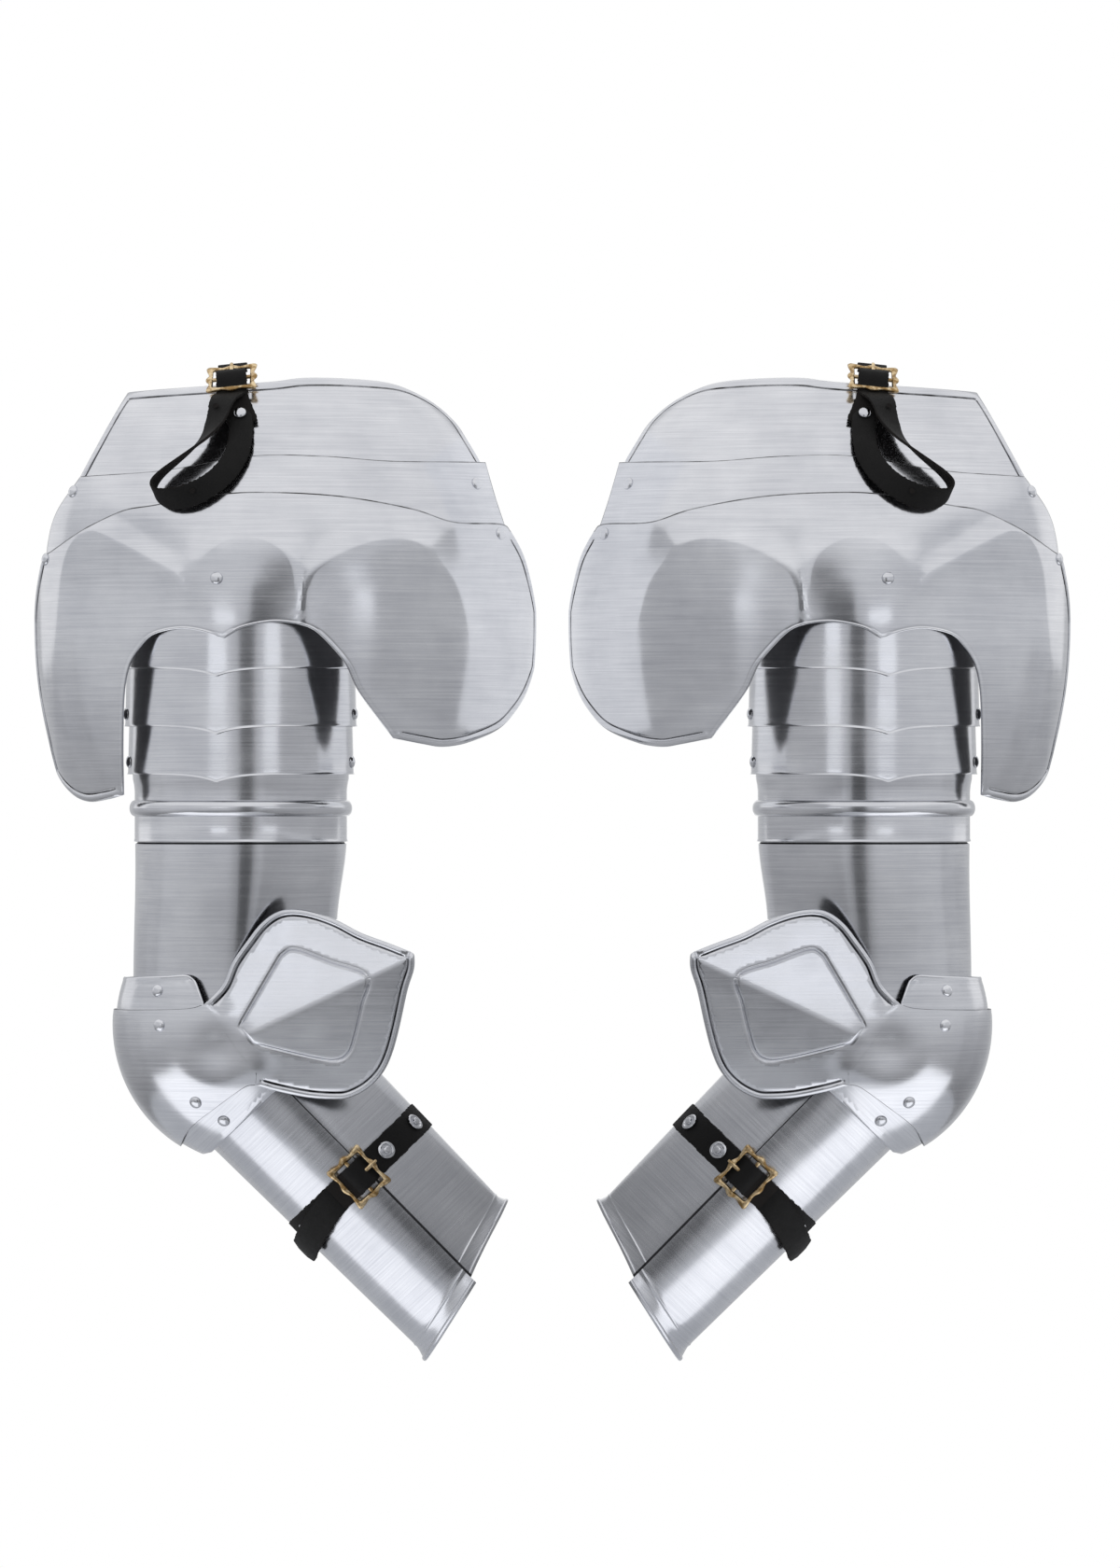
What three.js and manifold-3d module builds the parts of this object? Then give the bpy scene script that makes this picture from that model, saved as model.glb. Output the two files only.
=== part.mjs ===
// A mirrored pair of plate arm harnesses, from the shoulder plates to the forearm cuffs.
// Millimetres, +Z up. The outer face of each arm looks along -Y. The origin is on the right arm's
// shoulder strap, at the upper rim of its top plate.
import * as THREE from "three";
import { mergeVertices } from "three/addons/utils/BufferGeometryUtils.js";
import Module from "manifold-3d";

const wasm = await Module();
wasm.setup();
const degrees = Math.PI / 180;

// Sheet steel and how nested plates clear each other
const plate = 1.2;
const plateGap = 0.6;
const nest = plate + plateGap;
const seatGap = 0.3;
const overrun = 40;

// Rivets: dome head outside, shank through the plate below, flat head inside
const rivetHead = 4.2;
const rivetDome = 2.4;
const rivetShank = 1.8;
const rivetPlay = 0.5;
const rivetInner = 3.6;
const rivetInnerDeep = 1;
const rivetSides = 6;

// Straps
const leatherPlay = 13 * seatGap;
const strapWide = 19;
const strapThick = 1.8;
const washerWide = 11.4;
const washerThick = 1;

// Buckles: a square frame with lobed corners, a middle bar, and a tongue that turns on the bar
const frameHalf = 13.6;
const frameWave = 0.9;
const frameLobes = 8;
const frameCornerShare = 1.28;
const frameDeep = 2.6;
const frameLift = 0.2;
const windowHalf = 10.4;
const barRadius = 1.3;
const barPlay = 0.4;
const barHeight = 5.6;
const tongueWide = 2.6;
const tongueRing = 3;
const tongueLong = 15;
const tongueLow = 1.8;
const tongueThick = 1.4;
const loopWall = 1.6;
const slotHalf = 1.9;
const slotLong = 9;

// The pair
const pairSpacing = 417.6;
const armX = 2;

// Shoulder dome, measured from the arm's axis
const domeX = 30;
const domeBack = 44;
const domeLevel = -161.4;
const domeHalfWidth = 163;
const domeDepth = 118;
const domeRise = 175;
const domeDrop = 226;
const crownPower = 2.3;
const skirtPower = 2;
const domeTurn = 86 * degrees;
const domeColumns = 13;
const domeRow = 28;
const bulgeX = -3;
const bulgeWide = 62;
const bulgeOut = 12;
const bulgeStart = -108;
const bulgeFull = -150;
const tuck = 15;

// Upper arm lames and collar
const lameRadius = 75.6;
const lameBell = 1.2;
const lameTurn = 118 * degrees;
const lameColumns = 16;
const lameTuck = 15;
const lameEdges = [-190.8, -228, -259];
const lameTop = -149;
const cuspDrop = 6;
const cuspWide = 18;
const rivetTurn = 80 * degrees;
const rivetAboveEdge = 8;
const collarTop = -241;
const collarNeck = 68.8;
const collarBead = 71.6;
const beadLevel = -281;
const beadTall = 9;
const collarBottom = -302.4;
const collarNeckLevel = -268;
const turnerPlay = 0.75;
const flangeTop = -279.2;
const roundSides = 24;

// Upper cannon
const cannonBottom = -407;
const cannonHalfWidth = 66;
const cannonHalfDepth = 58;
const cannonLean = 3.5;
const cannonScoop = 62;
const beadRise = 2.6;

// Elbow
const elbowX = 12;
const elbowLevel = -421;
const elbowRadius = 92;
const elbowDepth = 72;
const foreTilt = 43.9 * degrees;
const copBelow = 21;
const elbowNest = plate + 1;
const elbowWrap = 80 * degrees;
const elbowRows = 8;
const elbowColumn = 16 * degrees;
const upperLameColumns = [9, 12];
const copColumns = [10, 17];
const lowerLameColumns = [13, 18];
const elbowTuck = 12;
const elbowReach = elbowNest + plate + seatGap;
const lowerLameEdge = 34;
const lowerLameSide = 3;
const lowerSlack = 5;
const wingRoot = 74;
const wingTip = 92;
const wingDive = 25;
const wingFall = 0.19;

// Forearm tube, measured along its axis from the elbow and across it
const foreStartX = 0;
const foreStartLevel = -440.4;
const foreRadius = 56.8;
const wristRadius = 52.6;
const foreShift = 2;
const wristShift = 4.6;
const foreLong = 210;
const foreDeepenShare = 0.008;
const foreLap = plate + 1.4;
const foreDeepFrom = 20;
const foreDeepTo = 110;
const foreTop = 15;
const foreInnerTop = 34;
const foreScoop = 26;
const cuffOuter = 214;
const cuffOuterSlope = 0.24;
const cuffInner = 210;
const cuffInnerSlope = 0.35;
const cuffFlare = 2.5;
const seamTurn = 6 * degrees;
const seamTuck = 10 * degrees;
const lapFull = 15 * degrees;
const lapEnds = 60 * degrees;
const hingeGapTurn = 3 * degrees;
const hingeStations = [70, 165];
const hingeLong = 30;
const hingeStand = 1.6;
const knuckleRadius = 3.2;
const leafWide = 11;
const leafThick = 1.6;
const pinRadius = 1.5;
const pinPlay = 0.35;
const strapStation = 111;

const steel = () => new THREE.MeshStandardMaterial({ color: 0xc9cbd0, roughness: 0.22, metalness: 1 });
const leather = () => new THREE.MeshStandardMaterial({ color: 0x161515, roughness: 0.75, metalness: 0 });
const brass = () => new THREE.MeshStandardMaterial({ color: 0xc9a46a, roughness: 0.35, metalness: 1 });

// Closed geometry to solid and back
function solid(geometry) {
  const bare = new THREE.BufferGeometry();
  bare.setAttribute("position", geometry.getAttribute("position").clone());
  if (geometry.index) bare.setIndex(geometry.index.clone());
  const merged = mergeVertices(bare);
  const corners = [];
  const index = merged.index.array;
  for (let i = 0; i < index.length; i += 3) {
    const [a, b, c] = [index[i], index[i + 1], index[i + 2]];
    if (a !== b && b !== c && c !== a) corners.push(a, b, c);
  }
  const vertProperties = new Float32Array(merged.getAttribute("position").array);
  const body = new wasm.Mesh({ numProp: 3, vertProperties, triVerts: new Uint32Array(corners) });
  return new wasm.Manifold(body);
}

function piece(name, body, finish) {
  const { vertProperties, triVerts } = body.getMesh();
  const geometry = new THREE.BufferGeometry();
  geometry.setAttribute("position", new THREE.BufferAttribute(vertProperties, 3));
  geometry.setIndex(new THREE.BufferAttribute(triVerts, 1));
  geometry.computeVertexNormals();
  const mesh = new THREE.Mesh(geometry, finish);
  mesh.name = name;
  return mesh;
}

// Outward normal of a surface(across, up) whose shares run left to right and bottom to top
function normalAt(surface, across, up) {
  const step = 1e-3;
  const [a0, a1] = [Math.max(across - step, 0), Math.min(across + step, 1)];
  const [u0, u1] = [Math.max(up - step, 0), Math.min(up + step, 1)];
  const along = surface(a1, up).sub(surface(a0, up));
  const rise = surface(across, u1).sub(surface(across, u0));
  return along.cross(rise).normalize();
}

// A sheet of even thickness under a surface; a ring joins its last column to its first
function sheet(surface, columns, rows, thickness, ring = false) {
  const wide = ring ? columns : columns + 1;
  const points = [];
  for (const depth of [0, thickness]) {
    for (let row = 0; row <= rows; row++) {
      for (let column = 0; column < wide; column++) {
        const [across, up] = [column / columns, row / rows];
        const inward = normalAt(surface, across, up).multiplyScalar(-depth);
        points.push(surface(across, up).add(inward));
      }
    }
  }
  const inner = wide * (rows + 1);
  const index = [];
  const quad = (a, b, c, d) => index.push(a, b, c, a, c, d);
  const at = (column, row) => row * wide + (column % wide);
  for (let column = 0; column < columns; column++) {
    for (let row = 0; row < rows; row++) {
      const [a, b] = [at(column, row), at(column + 1, row)];
      const [c, d] = [at(column + 1, row + 1), at(column, row + 1)];
      quad(a, b, c, d);
      quad(inner + d, inner + c, inner + b, inner + a);
    }
    const [a, b] = [at(column, 0), at(column + 1, 0)];
    const [c, d] = [at(column, rows), at(column + 1, rows)];
    quad(inner + a, inner + b, b, a);
    quad(c, d, inner + d, inner + c);
  }
  for (let row = 0; row < rows && !ring; row++) {
    const [a, b] = [at(0, row), at(0, row + 1)];
    const [c, d] = [at(columns, row), at(columns, row + 1)];
    quad(a, b, inner + b, inner + a);
    quad(inner + c, inner + d, d, c);
  }
  const geometry = new THREE.BufferGeometry();
  const places = points.flatMap((point) => point.toArray());
  geometry.setAttribute("position", new THREE.Float32BufferAttribute(places, 3));
  geometry.setIndex(index);
  return solid(geometry);
}

// Outline in the picture plane (x, z): stretches are smooth curves that meet at corners
function outline(stretches, detail = 1) {
  const points = stretches.flatMap((stretch) => {
    const corners = stretch.map(([x, z]) => new THREE.Vector2(x, z));
    if (corners.length < 3) return corners;
    return new THREE.SplineCurve(corners).getPoints((corners.length - 1) * detail);
  });
  return new THREE.Shape(points);
}

// A cutter through the whole depth, with the outline as its section
function prism(shape, front = -domeDepth, back = domeDepth) {
  const geometry = new THREE.ExtrudeGeometry(shape, { depth: back - front, bevelEnabled: false });
  geometry.rotateX(Math.PI / 2).translate(0, back, 0);
  return solid(geometry);
}

// Stands a geometry made along +Y on a point, along a direction
function stand(geometry, point, direction) {
  const turn = new THREE.Quaternion().setFromUnitVectors(new THREE.Vector3(0, 1, 0), direction);
  geometry.applyQuaternion(turn).translate(point.x, point.y, point.z);
  return geometry;
}

// A peened rivet: head on the outer face, shank down through reach, inner head under the last layer
function rivet({ point, normal }, reach) {
  const profile = [
    [0, -reach - rivetInnerDeep],
    [rivetInner, -reach - rivetInnerDeep],
    [rivetInner, -reach],
    [rivetShank, -reach],
    [rivetShank, -plate / 2],
    [rivetHead, -plate / 2],
    [0, rivetDome],
  ].map(([radius, height]) => new THREE.Vector2(radius, height));
  return solid(stand(new THREE.LatheGeometry(profile, rivetSides), point, normal));
}

function rivetHole({ point, normal }) {
  const radius = rivetShank + rivetPlay;
  return solid(stand(new THREE.CylinderGeometry(radius, radius, overrun, rivetSides), point, normal));
}

const spotOn = (surface, across, up) => ({
  point: surface(across, up),
  normal: normalAt(surface, across, up),
});
const rivetReach = nest + plate + 5 * seatGap;
const clamp = THREE.MathUtils.clamp;

const mix = THREE.MathUtils.lerp;
const smooth = THREE.MathUtils.smoothstep;

// Shoulder dome: a broad half shell with a bulge over the arm
function domePoint(turn, level, inset) {
  const rise = level - domeLevel;
  const [reach, power] = rise > 0 ? [domeRise, crownPower] : [domeDrop, skirtPower];
  const girth = (1 - Math.abs(rise / (reach - inset)) ** power) ** (1 / power);
  const x = domeX + (domeHalfWidth - inset) * girth * Math.sin(turn);
  const side = Math.min(Math.abs(x - bulgeX) / bulgeWide, 1);
  const bulge = bulgeOut * Math.cos((side * Math.PI) / 2) ** 2 * smooth(-level, -bulgeStart, -bulgeFull);
  const y = domeBack - (domeDepth - inset) * girth * Math.cos(turn) - bulge;
  return new THREE.Vector3(x, y, level);
}

const domeSurface = (inset, bottom, top) => (across, up) =>
  domePoint(mix(-domeTurn, domeTurn, across), mix(bottom, top, up), inset);

// Dome plates share their rows and columns, so the facets of one lie flat on the next
function domeSheet(inset, bottom, top) {
  const [low, high] = [Math.floor(bottom / domeRow), Math.min(Math.ceil(top / domeRow), 0)];
  return sheet(domeSurface(inset, low * domeRow, high * domeRow), domeColumns, high - low, plate);
}

// Where a dome plate's outer face lies in front of a place in the picture plane
function domeSpot(x, level, inset) {
  const flat = domePoint(0, level, inset);
  const wide = domePoint(Math.PI / 2, level, inset).x - domeX;
  const turn = clamp(Math.asin(clamp((x - domeX) / wide, -1, 1)), -domeTurn, domeTurn);
  const surface = domeSurface(inset, level - plate, level + plate);
  return spotOn(surface, (turn + domeTurn) / (2 * domeTurn), 1 / 2);
}

const domeShares = (pairs) =>
  pairs.map(([x, z]) => [domeX + x * domeHalfWidth, domeLevel + z * domeRise]);

// Outlines of the shoulder plates, in shares of the dome's half width and rise from its centre
const topSeamShares = [[0.8, 0.6], [0.438, 0.597], [0.155, 0.614], [-0.125, 0.614], [-0.479, 0.562],
  [-0.81, 0.545]];
const topRimShares = [[-0.626, 0.861], [-0.085, 0.891], [0.085, 0.909], [0.298, 0.905], [0.438, 0.888],
  [0.578, 0.826], [0.677, 0.747], [0.733, 0.669], [0.79, 0.58]];
const mainSeamShares = [[0.902, 0.343], [0.861, 0.37], [0.677, 0.374], [0.508, 0.422], [0.228, 0.466],
  [-0.055, 0.48], [-0.239, 0.473], [-0.504, 0.435], [-0.674, 0.401], [-0.964, 0.25]];
const leftWingShares = [[-0.964, 0.25], [-0.99, 0.12], [-0.998, 0], [-0.994, -0.158], [-0.972, -0.288],
  [-0.942, -0.418], [-0.902, -0.552], [-0.843, -0.627], [-0.773, -0.658], [-0.688, -0.648],
  [-0.633, -0.634]];
const archLeftShares = [[-0.633, -0.634], [-0.633, -0.446], [-0.626, -0.261], [-0.604, -0.158],
  [-0.563, -0.093], [-0.508, -0.045], [-0.409, -0.024], [-0.324, -0.031], [-0.228, -0.058]];
const archRightShares = [[-0.228, -0.058], [-0.155, -0.021], [-0.04, 0], [0.059, -0.007], [0.129, -0.031],
  [0.199, -0.093], [0.254, -0.158], [0.298, -0.247], [0.368, -0.339], [0.438, -0.425]];
const rightWingShares = [[0.438, -0.425], [0.552, -0.446], [0.633, -0.456], [0.733, -0.439],
  [0.847, -0.394], [0.917, -0.326], [0.964, -0.247], [0.994, -0.144], [1.001, -0.024], [0.994, 0.079],
  [0.972, 0.185], [0.946, 0.264], [0.902, 0.343]];
const secondRightShares = [[0.784, 0.59], [0.839, 0.473], [0.88, 0.357]];
const secondLeftShares = [[-0.95, 0.2], [-0.945, 0.3], [-0.909, 0.415], [-0.832, 0.545]];
const topRivetShares = [[-0.8, 0.49], [0.766, 0.518]];
const mainRivetShares = [[-0.952, 0.24], [0.861, 0.333]];
const leatherRivetShare = [-0.254, 0.161];

// Left and right rivet spots on a dome plate
const domeRivets = (shares, inset) => domeShares(shares).map(([x, z]) => domeSpot(x, z, inset));
const [topInset, secondInset, mainInset] = [2 * nest, nest, 0];
const topRivets = domeRivets(topRivetShares, secondInset);
const mainRivets = domeRivets(mainRivetShares, mainInset);
const leatherRivet = domeRivets([leatherRivetShare], mainInset)[0];

function topPlate() {
  const seam = domeShares(topSeamShares).map(([x, z]) => [x, z - tuck]);
  const shape = outline([seam, domeShares(topRimShares)]);
  const lowest = Math.min(...seam.map(([, z]) => z)) - plate;
  const top = domeLevel + Math.max(...topRimShares.map(([, z]) => z)) * domeRise;
  let body = domeSheet(topInset, lowest, top).intersect(prism(shape));
  for (const spot of topRivets) body = body.subtract(rivetHole(spot));
  return body.add(leatherRivetOn(shoulderRivet, 2 * plate, shoulderStack));
}

function secondPlate() {
  const rim = domeShares(topSeamShares).reverse();
  const right = domeShares(secondRightShares);
  const seam = domeShares(mainSeamShares.slice(1, -1)).map(([x, z]) => [x, z - tuck]);
  const left = domeShares(secondLeftShares);
  const shape = outline([rim, right, seam, left]);
  const levels = seam.map(([, z]) => z);
  const top = Math.max(...rim.map(([, z]) => z)) + plate;
  let body = domeSheet(secondInset, Math.min(...levels) - plate, top).intersect(prism(shape));
  for (const spot of mainRivets) body = body.subtract(rivetHole(spot));
  for (const spot of topRivets) body = body.add(rivet(spot, rivetReach));
  return body;
}

function mainPlate() {
  const stretches = [mainSeamShares, leftWingShares, archLeftShares, archRightShares, rightWingShares];
  const shape = outline(stretches.map(domeShares));
  const levels = stretches.flatMap(domeShares).map(([, z]) => z);
  const [lowest, highest] = [Math.min(...levels) - plate, Math.max(...levels) + plate];
  let body = domeSheet(mainInset, lowest, highest).intersect(prism(shape));
  for (const spot of mainRivets) body = body.add(rivet(spot, rivetReach));
  return body.add(rivet(leatherRivet, plate + strapThick + leatherPlay));
}

// Arm lames: each is a slight bell that tucks inside the one above, with a point in its lower edge
const lameTops = [lameTop, ...lameEdges.slice(0, -1).map((edge) => edge + lameTuck)];
const lameRadii = lameEdges.map((edge, i) => lameRadius - i * nest);
const cuspTurn = (-2 * lameTurn) / lameColumns;

const lameSurface = (i) => (across, up) => {
  const turn = mix(-lameTurn, lameTurn, across);
  const radius = lameRadii[i] + lameBell * (1 - up);
  const off = radius * Math.abs(Math.sin(turn) - Math.sin(cuspTurn));
  const bottom = lameEdges[i] - cuspDrop * Math.exp(-off / cuspWide) * Math.max(Math.cos(turn), 0);
  const level = mix(bottom, lameTops[i], up);
  return new THREE.Vector3(armX + radius * Math.sin(turn), -radius * Math.cos(turn), level);
};

// Side rivets of a ring round the arm, at a level
function sideRivets(radius, level) {
  return [-1, 1].map((side) => {
    const normal = new THREE.Vector3(side * Math.sin(rivetTurn), -Math.cos(rivetTurn), 0);
    return { point: new THREE.Vector3(armX, 0, level).addScaledVector(normal, radius), normal };
  });
}
const rivetBellShare = 0.8;
const lameRivets = lameEdges.map((edge, i) =>
  sideRivets(lameRadii[i] + lameBell * rivetBellShare, edge + rivetAboveEdge));
const lameReach = nest + lameBell + plate + 2 * seatGap;

function upperLame(i) {
  let body = sheet(lameSurface(i), lameColumns, 1, plate);
  const above = i > 0 ? lameRivets[i - 1] : [];
  for (const spot of above) body = body.subtract(rivetHole(spot));
  for (const spot of lameRivets[i]) body = body.add(rivet(spot, lameReach));
  return body;
}

// Inner leather that the lames hang on, riveted under the main plate
const leatherTop = -122;
const leatherLeaves = -131;
const leatherMiddle = -139.2;
const leatherJoins = -147.6;
const leatherBottom = -240;
const leatherWide = 26;
const leatherLevels = [leatherBottom, leatherJoins, leatherMiddle, leatherLeaves, leatherTop];
const leatherColumns = 2;
function lameLeather() {
  const inside = lameRadii[2] - plate - 3 * seatGap;
  const rows = leatherLevels.length - 1;
  const station = (x, row) => {
    const level = leatherLevels[row];
    const near = domeSpot(x, level, mainInset).point.y + plate + leatherPlay - 3 * seatGap;
    const far = -Math.sqrt(inside ** 2 - (x - armX) ** 2);
    return new THREE.Vector3(x, level > leatherJoins ? near : far, level);
  };
  const surface = (across, up) => {
    const x = leatherRivet.point.x + (across - 1 / 2) * leatherWide;
    const row = Math.min(Math.floor(up * rows), rows - 1);
    return station(x, row).lerp(station(x, row + 1), up * rows - row);
  };
  return sheet(surface, leatherColumns, rows, strapThick).subtract(rivetHole(leatherRivet));
}

// Collar and cannon share the arm's axis, so the cannon turns in the collar's bead
function ring(profile) {
  const points = profile.map(([radius, level]) => new THREE.Vector2(radius, level));
  const geometry = new THREE.LatheGeometry([...points, points[0]], roundSides);
  return solid(geometry.rotateX(Math.PI / 2).translate(armX, 0, 0));
}

const beadShares = [[0, 0.5], [1, 0], [0, -0.5]];
function collar() {
  const nestRadius = lameRadii[2] - nest;
  const bead = beadShares.map(([out, up]) => [mix(collarNeck, collarBead, out), beadLevel + up * beadTall]);
  const top = [[nestRadius, collarTop], [nestRadius, lameEdges[2] - plate]];
  const outer = [...top, [collarNeck, collarNeckLevel], ...bead, [collarNeck, collarBottom]];
  const inner = outer.map(([radius, level]) => [radius - plate, level]).reverse();
  let body = ring([...inner, ...outer].reverse());
  for (const spot of lameRivets[2]) body = body.subtract(rivetHole(spot));
  return body;
}

// Upper cannon: flange and neck inside the collar, then a tube that leans and flattens to the elbow
const cannonNeck = collarNeck - plate - turnerPlay;
const cannonShoulder = collarBottom - 2 * seatGap;
const flangeShare = 0.6;
const cannonRings = [
  [flangeTop, cannonNeck + flangeShare * beadRise],
  [beadLevel, cannonNeck + beadRise],
  [beadLevel - beadTall / 2, cannonNeck],
  [cannonShoulder, cannonNeck],
  [cannonShoulder - plate, collarNeck - seatGap],
  [cannonBottom, cannonHalfWidth],
].map(([level, radius]) => ({ level, radius }));

const cannonSurface = (across, up) => {
  const place = (1 - up) * (cannonRings.length - 1);
  const index = Math.min(Math.floor(place), cannonRings.length - 2);
  const [above, below] = [cannonRings[index], cannonRings[index + 1]];
  const level = mix(above.level, below.level, place - index);
  const radius = mix(above.radius, below.radius, place - index);
  const down = smooth(-level, -cannonShoulder, -cannonBottom);
  const turn = (across * 2 - 1) * Math.PI;
  const depth = radius - (cannonHalfWidth - cannonHalfDepth) * down;
  const nearElbow = index === cannonRings.length - 2 ? place - index : 0;
  const lift = cannonScoop * nearElbow * smooth(Math.sin(turn), 0, 1);
  const x = armX - cannonLean * down + radius * Math.sin(turn);
  return new THREE.Vector3(x, -depth * Math.cos(turn), level + lift);
};

// Elbow shells are slices of one rounded form about the elbow's centre
const elbowSurface = (inset, from, to) => (across, up) => {
  const turn = mix(from, to, across) * elbowColumn;
  const tilt = mix(-elbowWrap, elbowWrap, up);
  const wide = (elbowRadius - inset) * Math.cos(tilt);
  const [x, z] = [elbowX + wide * Math.cos(turn), elbowLevel + wide * Math.sin(turn)];
  return new THREE.Vector3(x, (elbowDepth - inset) * Math.sin(tilt), z);
};

// They share their rows and columns as well; from and to count columns
const elbowShell = (inset, [from, to]) => sheet(elbowSurface(inset, from, to), to - from, elbowRows, plate);

// Rivet spots on the outer and inner sides of the elbow, at a place in the picture plane
function elbowSpots([shareX, shareZ], inset) {
  const [x, z] = [shareX * elbowRadius, shareZ * elbowRadius];
  const [wide, deep] = [elbowRadius - inset, elbowDepth - inset];
  const y = deep * Math.sqrt(1 - (x ** 2 + z ** 2) / wide ** 2);
  return [-1, 1].map((side) => ({
    point: new THREE.Vector3(elbowX + x, side * y, elbowLevel + z),
    normal: new THREE.Vector3(x / wide ** 2, (side * y) / deep ** 2, z / wide ** 2).normalize(),
  }));
}

const elbowShares = (pairs) =>
  pairs.map(([x, z]) => [elbowX + x * elbowRadius, elbowLevel + z * elbowRadius]);
const upperLameShares = [[-1.1, 0.34], [-0.874, 0.335], [-0.476, 0.357], [-0.404, 0.298], [-0.352, 0.16],
  [-0.36, 0.02], [-1.1, 0.02]];
const copShares = [[-1.1, 0.15], [-0.835, 0.11], [-0.476, 0.122], [-0.346, 0.154], [-0.24, 0.02],
  [-0.12, -0.16], [0.02, -0.33], [0.013, -0.413], [-0.072, -0.433], [-0.28, -0.583], [-0.45, -0.72],
  [-0.56, -0.9], [-0.7, -1.1], [-1.1, -1.1]];
const wingShares = [
  [[-0.346, 0.154], [-0.222, 0.285], [-0.15, 0.448], [-0.046, 0.598], [0.046, 0.715], [0.15, 0.793],
    [0.267, 0.82], [0.417, 0.8], [0.587, 0.741], [0.75, 0.657], [0.946, 0.585], [1.096, 0.526]],
  [[1.122, 0.487], [1.122, 0.402], [1.076, 0.252], [1.017, -0.015], [0.965, -0.198], [0.9, -0.328],
    [0.796, -0.433], [0.672, -0.498], [0.567, -0.511], [0.378, -0.498], [0.15, -0.452], [0.013, -0.413]],
  [[0.013, -0.413], [-0.08, -0.25], [-0.22, -0.04], [-0.346, 0.154]],
];
const upperPivotShare = [-0.678, 0.246];
const copUpperPivotShare = [-0.665, 0.004];
const copLowerPivotShare = [-0.411, -0.537];
const lowerPivotShare = [-0.215, -0.667];

const upperPivots = elbowSpots(upperPivotShare, elbowNest);
const copUpperPivots = elbowSpots(copUpperPivotShare, 0);
const copLowerPivots = elbowSpots(copLowerPivotShare, 0);
const lowerPivots = elbowSpots(lowerPivotShare, elbowNest);

function upperCannon() {
  let body = sheet(cannonSurface, roundSides, cannonRings.length - 1, plate, true);
  for (const spot of upperPivots) body = body.subtract(rivetHole(spot));
  return body;
}

function couterUpperLame() {
  const shell = elbowShell(elbowNest, upperLameColumns);
  let body = shell.intersect(prism(outline([elbowShares(upperLameShares)])));
  for (const spot of copUpperPivots) body = body.subtract(rivetHole(spot));
  for (const spot of upperPivots) body = body.add(rivet(spot, elbowReach));
  return body;
}

// Wing: a folded plate with a ridge that runs out from the elbow
const wingRidgeShares = [[-0.059, -0.067], [1.05, 0.454]];
const wingBoxShares = [[-0.4, -0.55], [1.16, 0.86]];
const wingColumns = 5;
const wingRows = 4;
const wingSurface = (across, up) => {
  const [start, end] = elbowShares(wingRidgeShares).map(([x, z]) => new THREE.Vector2(x, z));
  const [[left, low], [right, high]] = elbowShares(wingBoxShares);
  const place = new THREE.Vector2(mix(left, right, across), mix(low, high, up));
  const ridge = end.clone().sub(start);
  const off = place.clone().sub(start);
  const along = off.dot(ridge) / ridge.lengthSq();
  const aside = Math.abs(off.cross(ridge)) / ridge.length();
  const front = along > 0 ? mix(wingRoot, wingTip, along) : wingRoot + wingDive * along;
  return new THREE.Vector3(place.x, -front + wingFall * aside, place.y);
};

function couter() {
  const shell = elbowShell(0, copColumns);
  const cop = shell.intersect(prism(outline([elbowShares(copShares)])));
  const fold = sheet(wingSurface, wingColumns, wingRows, plate);
  const wing = fold.intersect(prism(outline(wingShares.map(elbowShares))));
  let body = cop.add(wing);
  for (const spot of [...copUpperPivots, ...copLowerPivots]) body = body.add(rivet(spot, elbowReach));
  return body;
}

// Forearm frame: along is down the forearm, aside is across it toward the crook of the elbow
const foreAlong = new THREE.Vector3(Math.sin(foreTilt), 0, -Math.cos(foreTilt));
const foreAside = new THREE.Vector3(Math.cos(foreTilt), 0, Math.sin(foreTilt));
const foreOrigin = new THREE.Vector3(foreStartX, 0, foreStartLevel);
const forePlace = (along, aside, depth) =>
  foreOrigin.clone().addScaledVector(foreAlong, along).addScaledVector(foreAside, aside).setY(depth);
const foreGirth = (along) => mix(foreRadius, wristRadius, along / foreLong);
const foreMiddle = (along) => mix(foreShift, wristShift, along / foreLong);
const foreRound = (along, turn, inset) => {
  const radius = foreGirth(along) - inset;
  const deepen = 1 + foreDeepenShare * (1 - smooth(along, foreDeepFrom, foreDeepTo));
  return forePlace(along, foreMiddle(along) + radius * Math.sin(turn), -radius * deepen * Math.cos(turn));
};

function couterLowerLame() {
  const [top, side] = [copBelow - elbowTuck, lowerLameSide];
  const corners = [[top, -2 * foreRadius], [lowerLameEdge, -2 * foreRadius], [lowerLameEdge, side],
    [copBelow, 2 * side], [top, side]];
  const places = corners.map(([along, aside]) => forePlace(along, aside, 0));
  const shape = outline([places.map(({ x, z }) => [x, z])]);
  const shell = elbowShell(elbowNest, lowerLameColumns);
  let body = shell.intersect(prism(shape));
  for (const spot of copLowerPivots) body = body.subtract(rivetHole(spot));
  for (const spot of lowerPivots) body = body.add(rivet(spot, elbowReach + lowerSlack));
  return body;
}

// Forearm halves: the outer laps over the inner at the seam on the outer face
const cuffRow = 0.06;
const foreHalf = (from, to, start, end, slope, scoop) => (across, up) => {
  const turn = mix(from, to, across);
  const lapped = from > -Math.PI / 2 ? foreLap * (1 - smooth(turn, lapFull, lapEnds)) : 0;
  const aside = foreRadius * Math.sin(turn);
  const top = start + scoop * smooth(Math.sin(turn), 0, 1);
  const along = mix(end - slope * aside, top, up);
  const clear = from > -Math.PI / 2 ? smooth(turn, seamTurn, lapEnds) : 1;
  const flare = cuffFlare * clear * (1 - smooth(up, 0, cuffRow));
  return foreRound(along, turn, lapped - flare);
};
const outerHalf = foreHalf(hingeGapTurn - Math.PI, seamTurn, foreTop, cuffOuter, cuffOuterSlope, 0);
const innerFrom = seamTurn - seamTuck;
const innerTo = Math.PI - hingeGapTurn;
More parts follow.
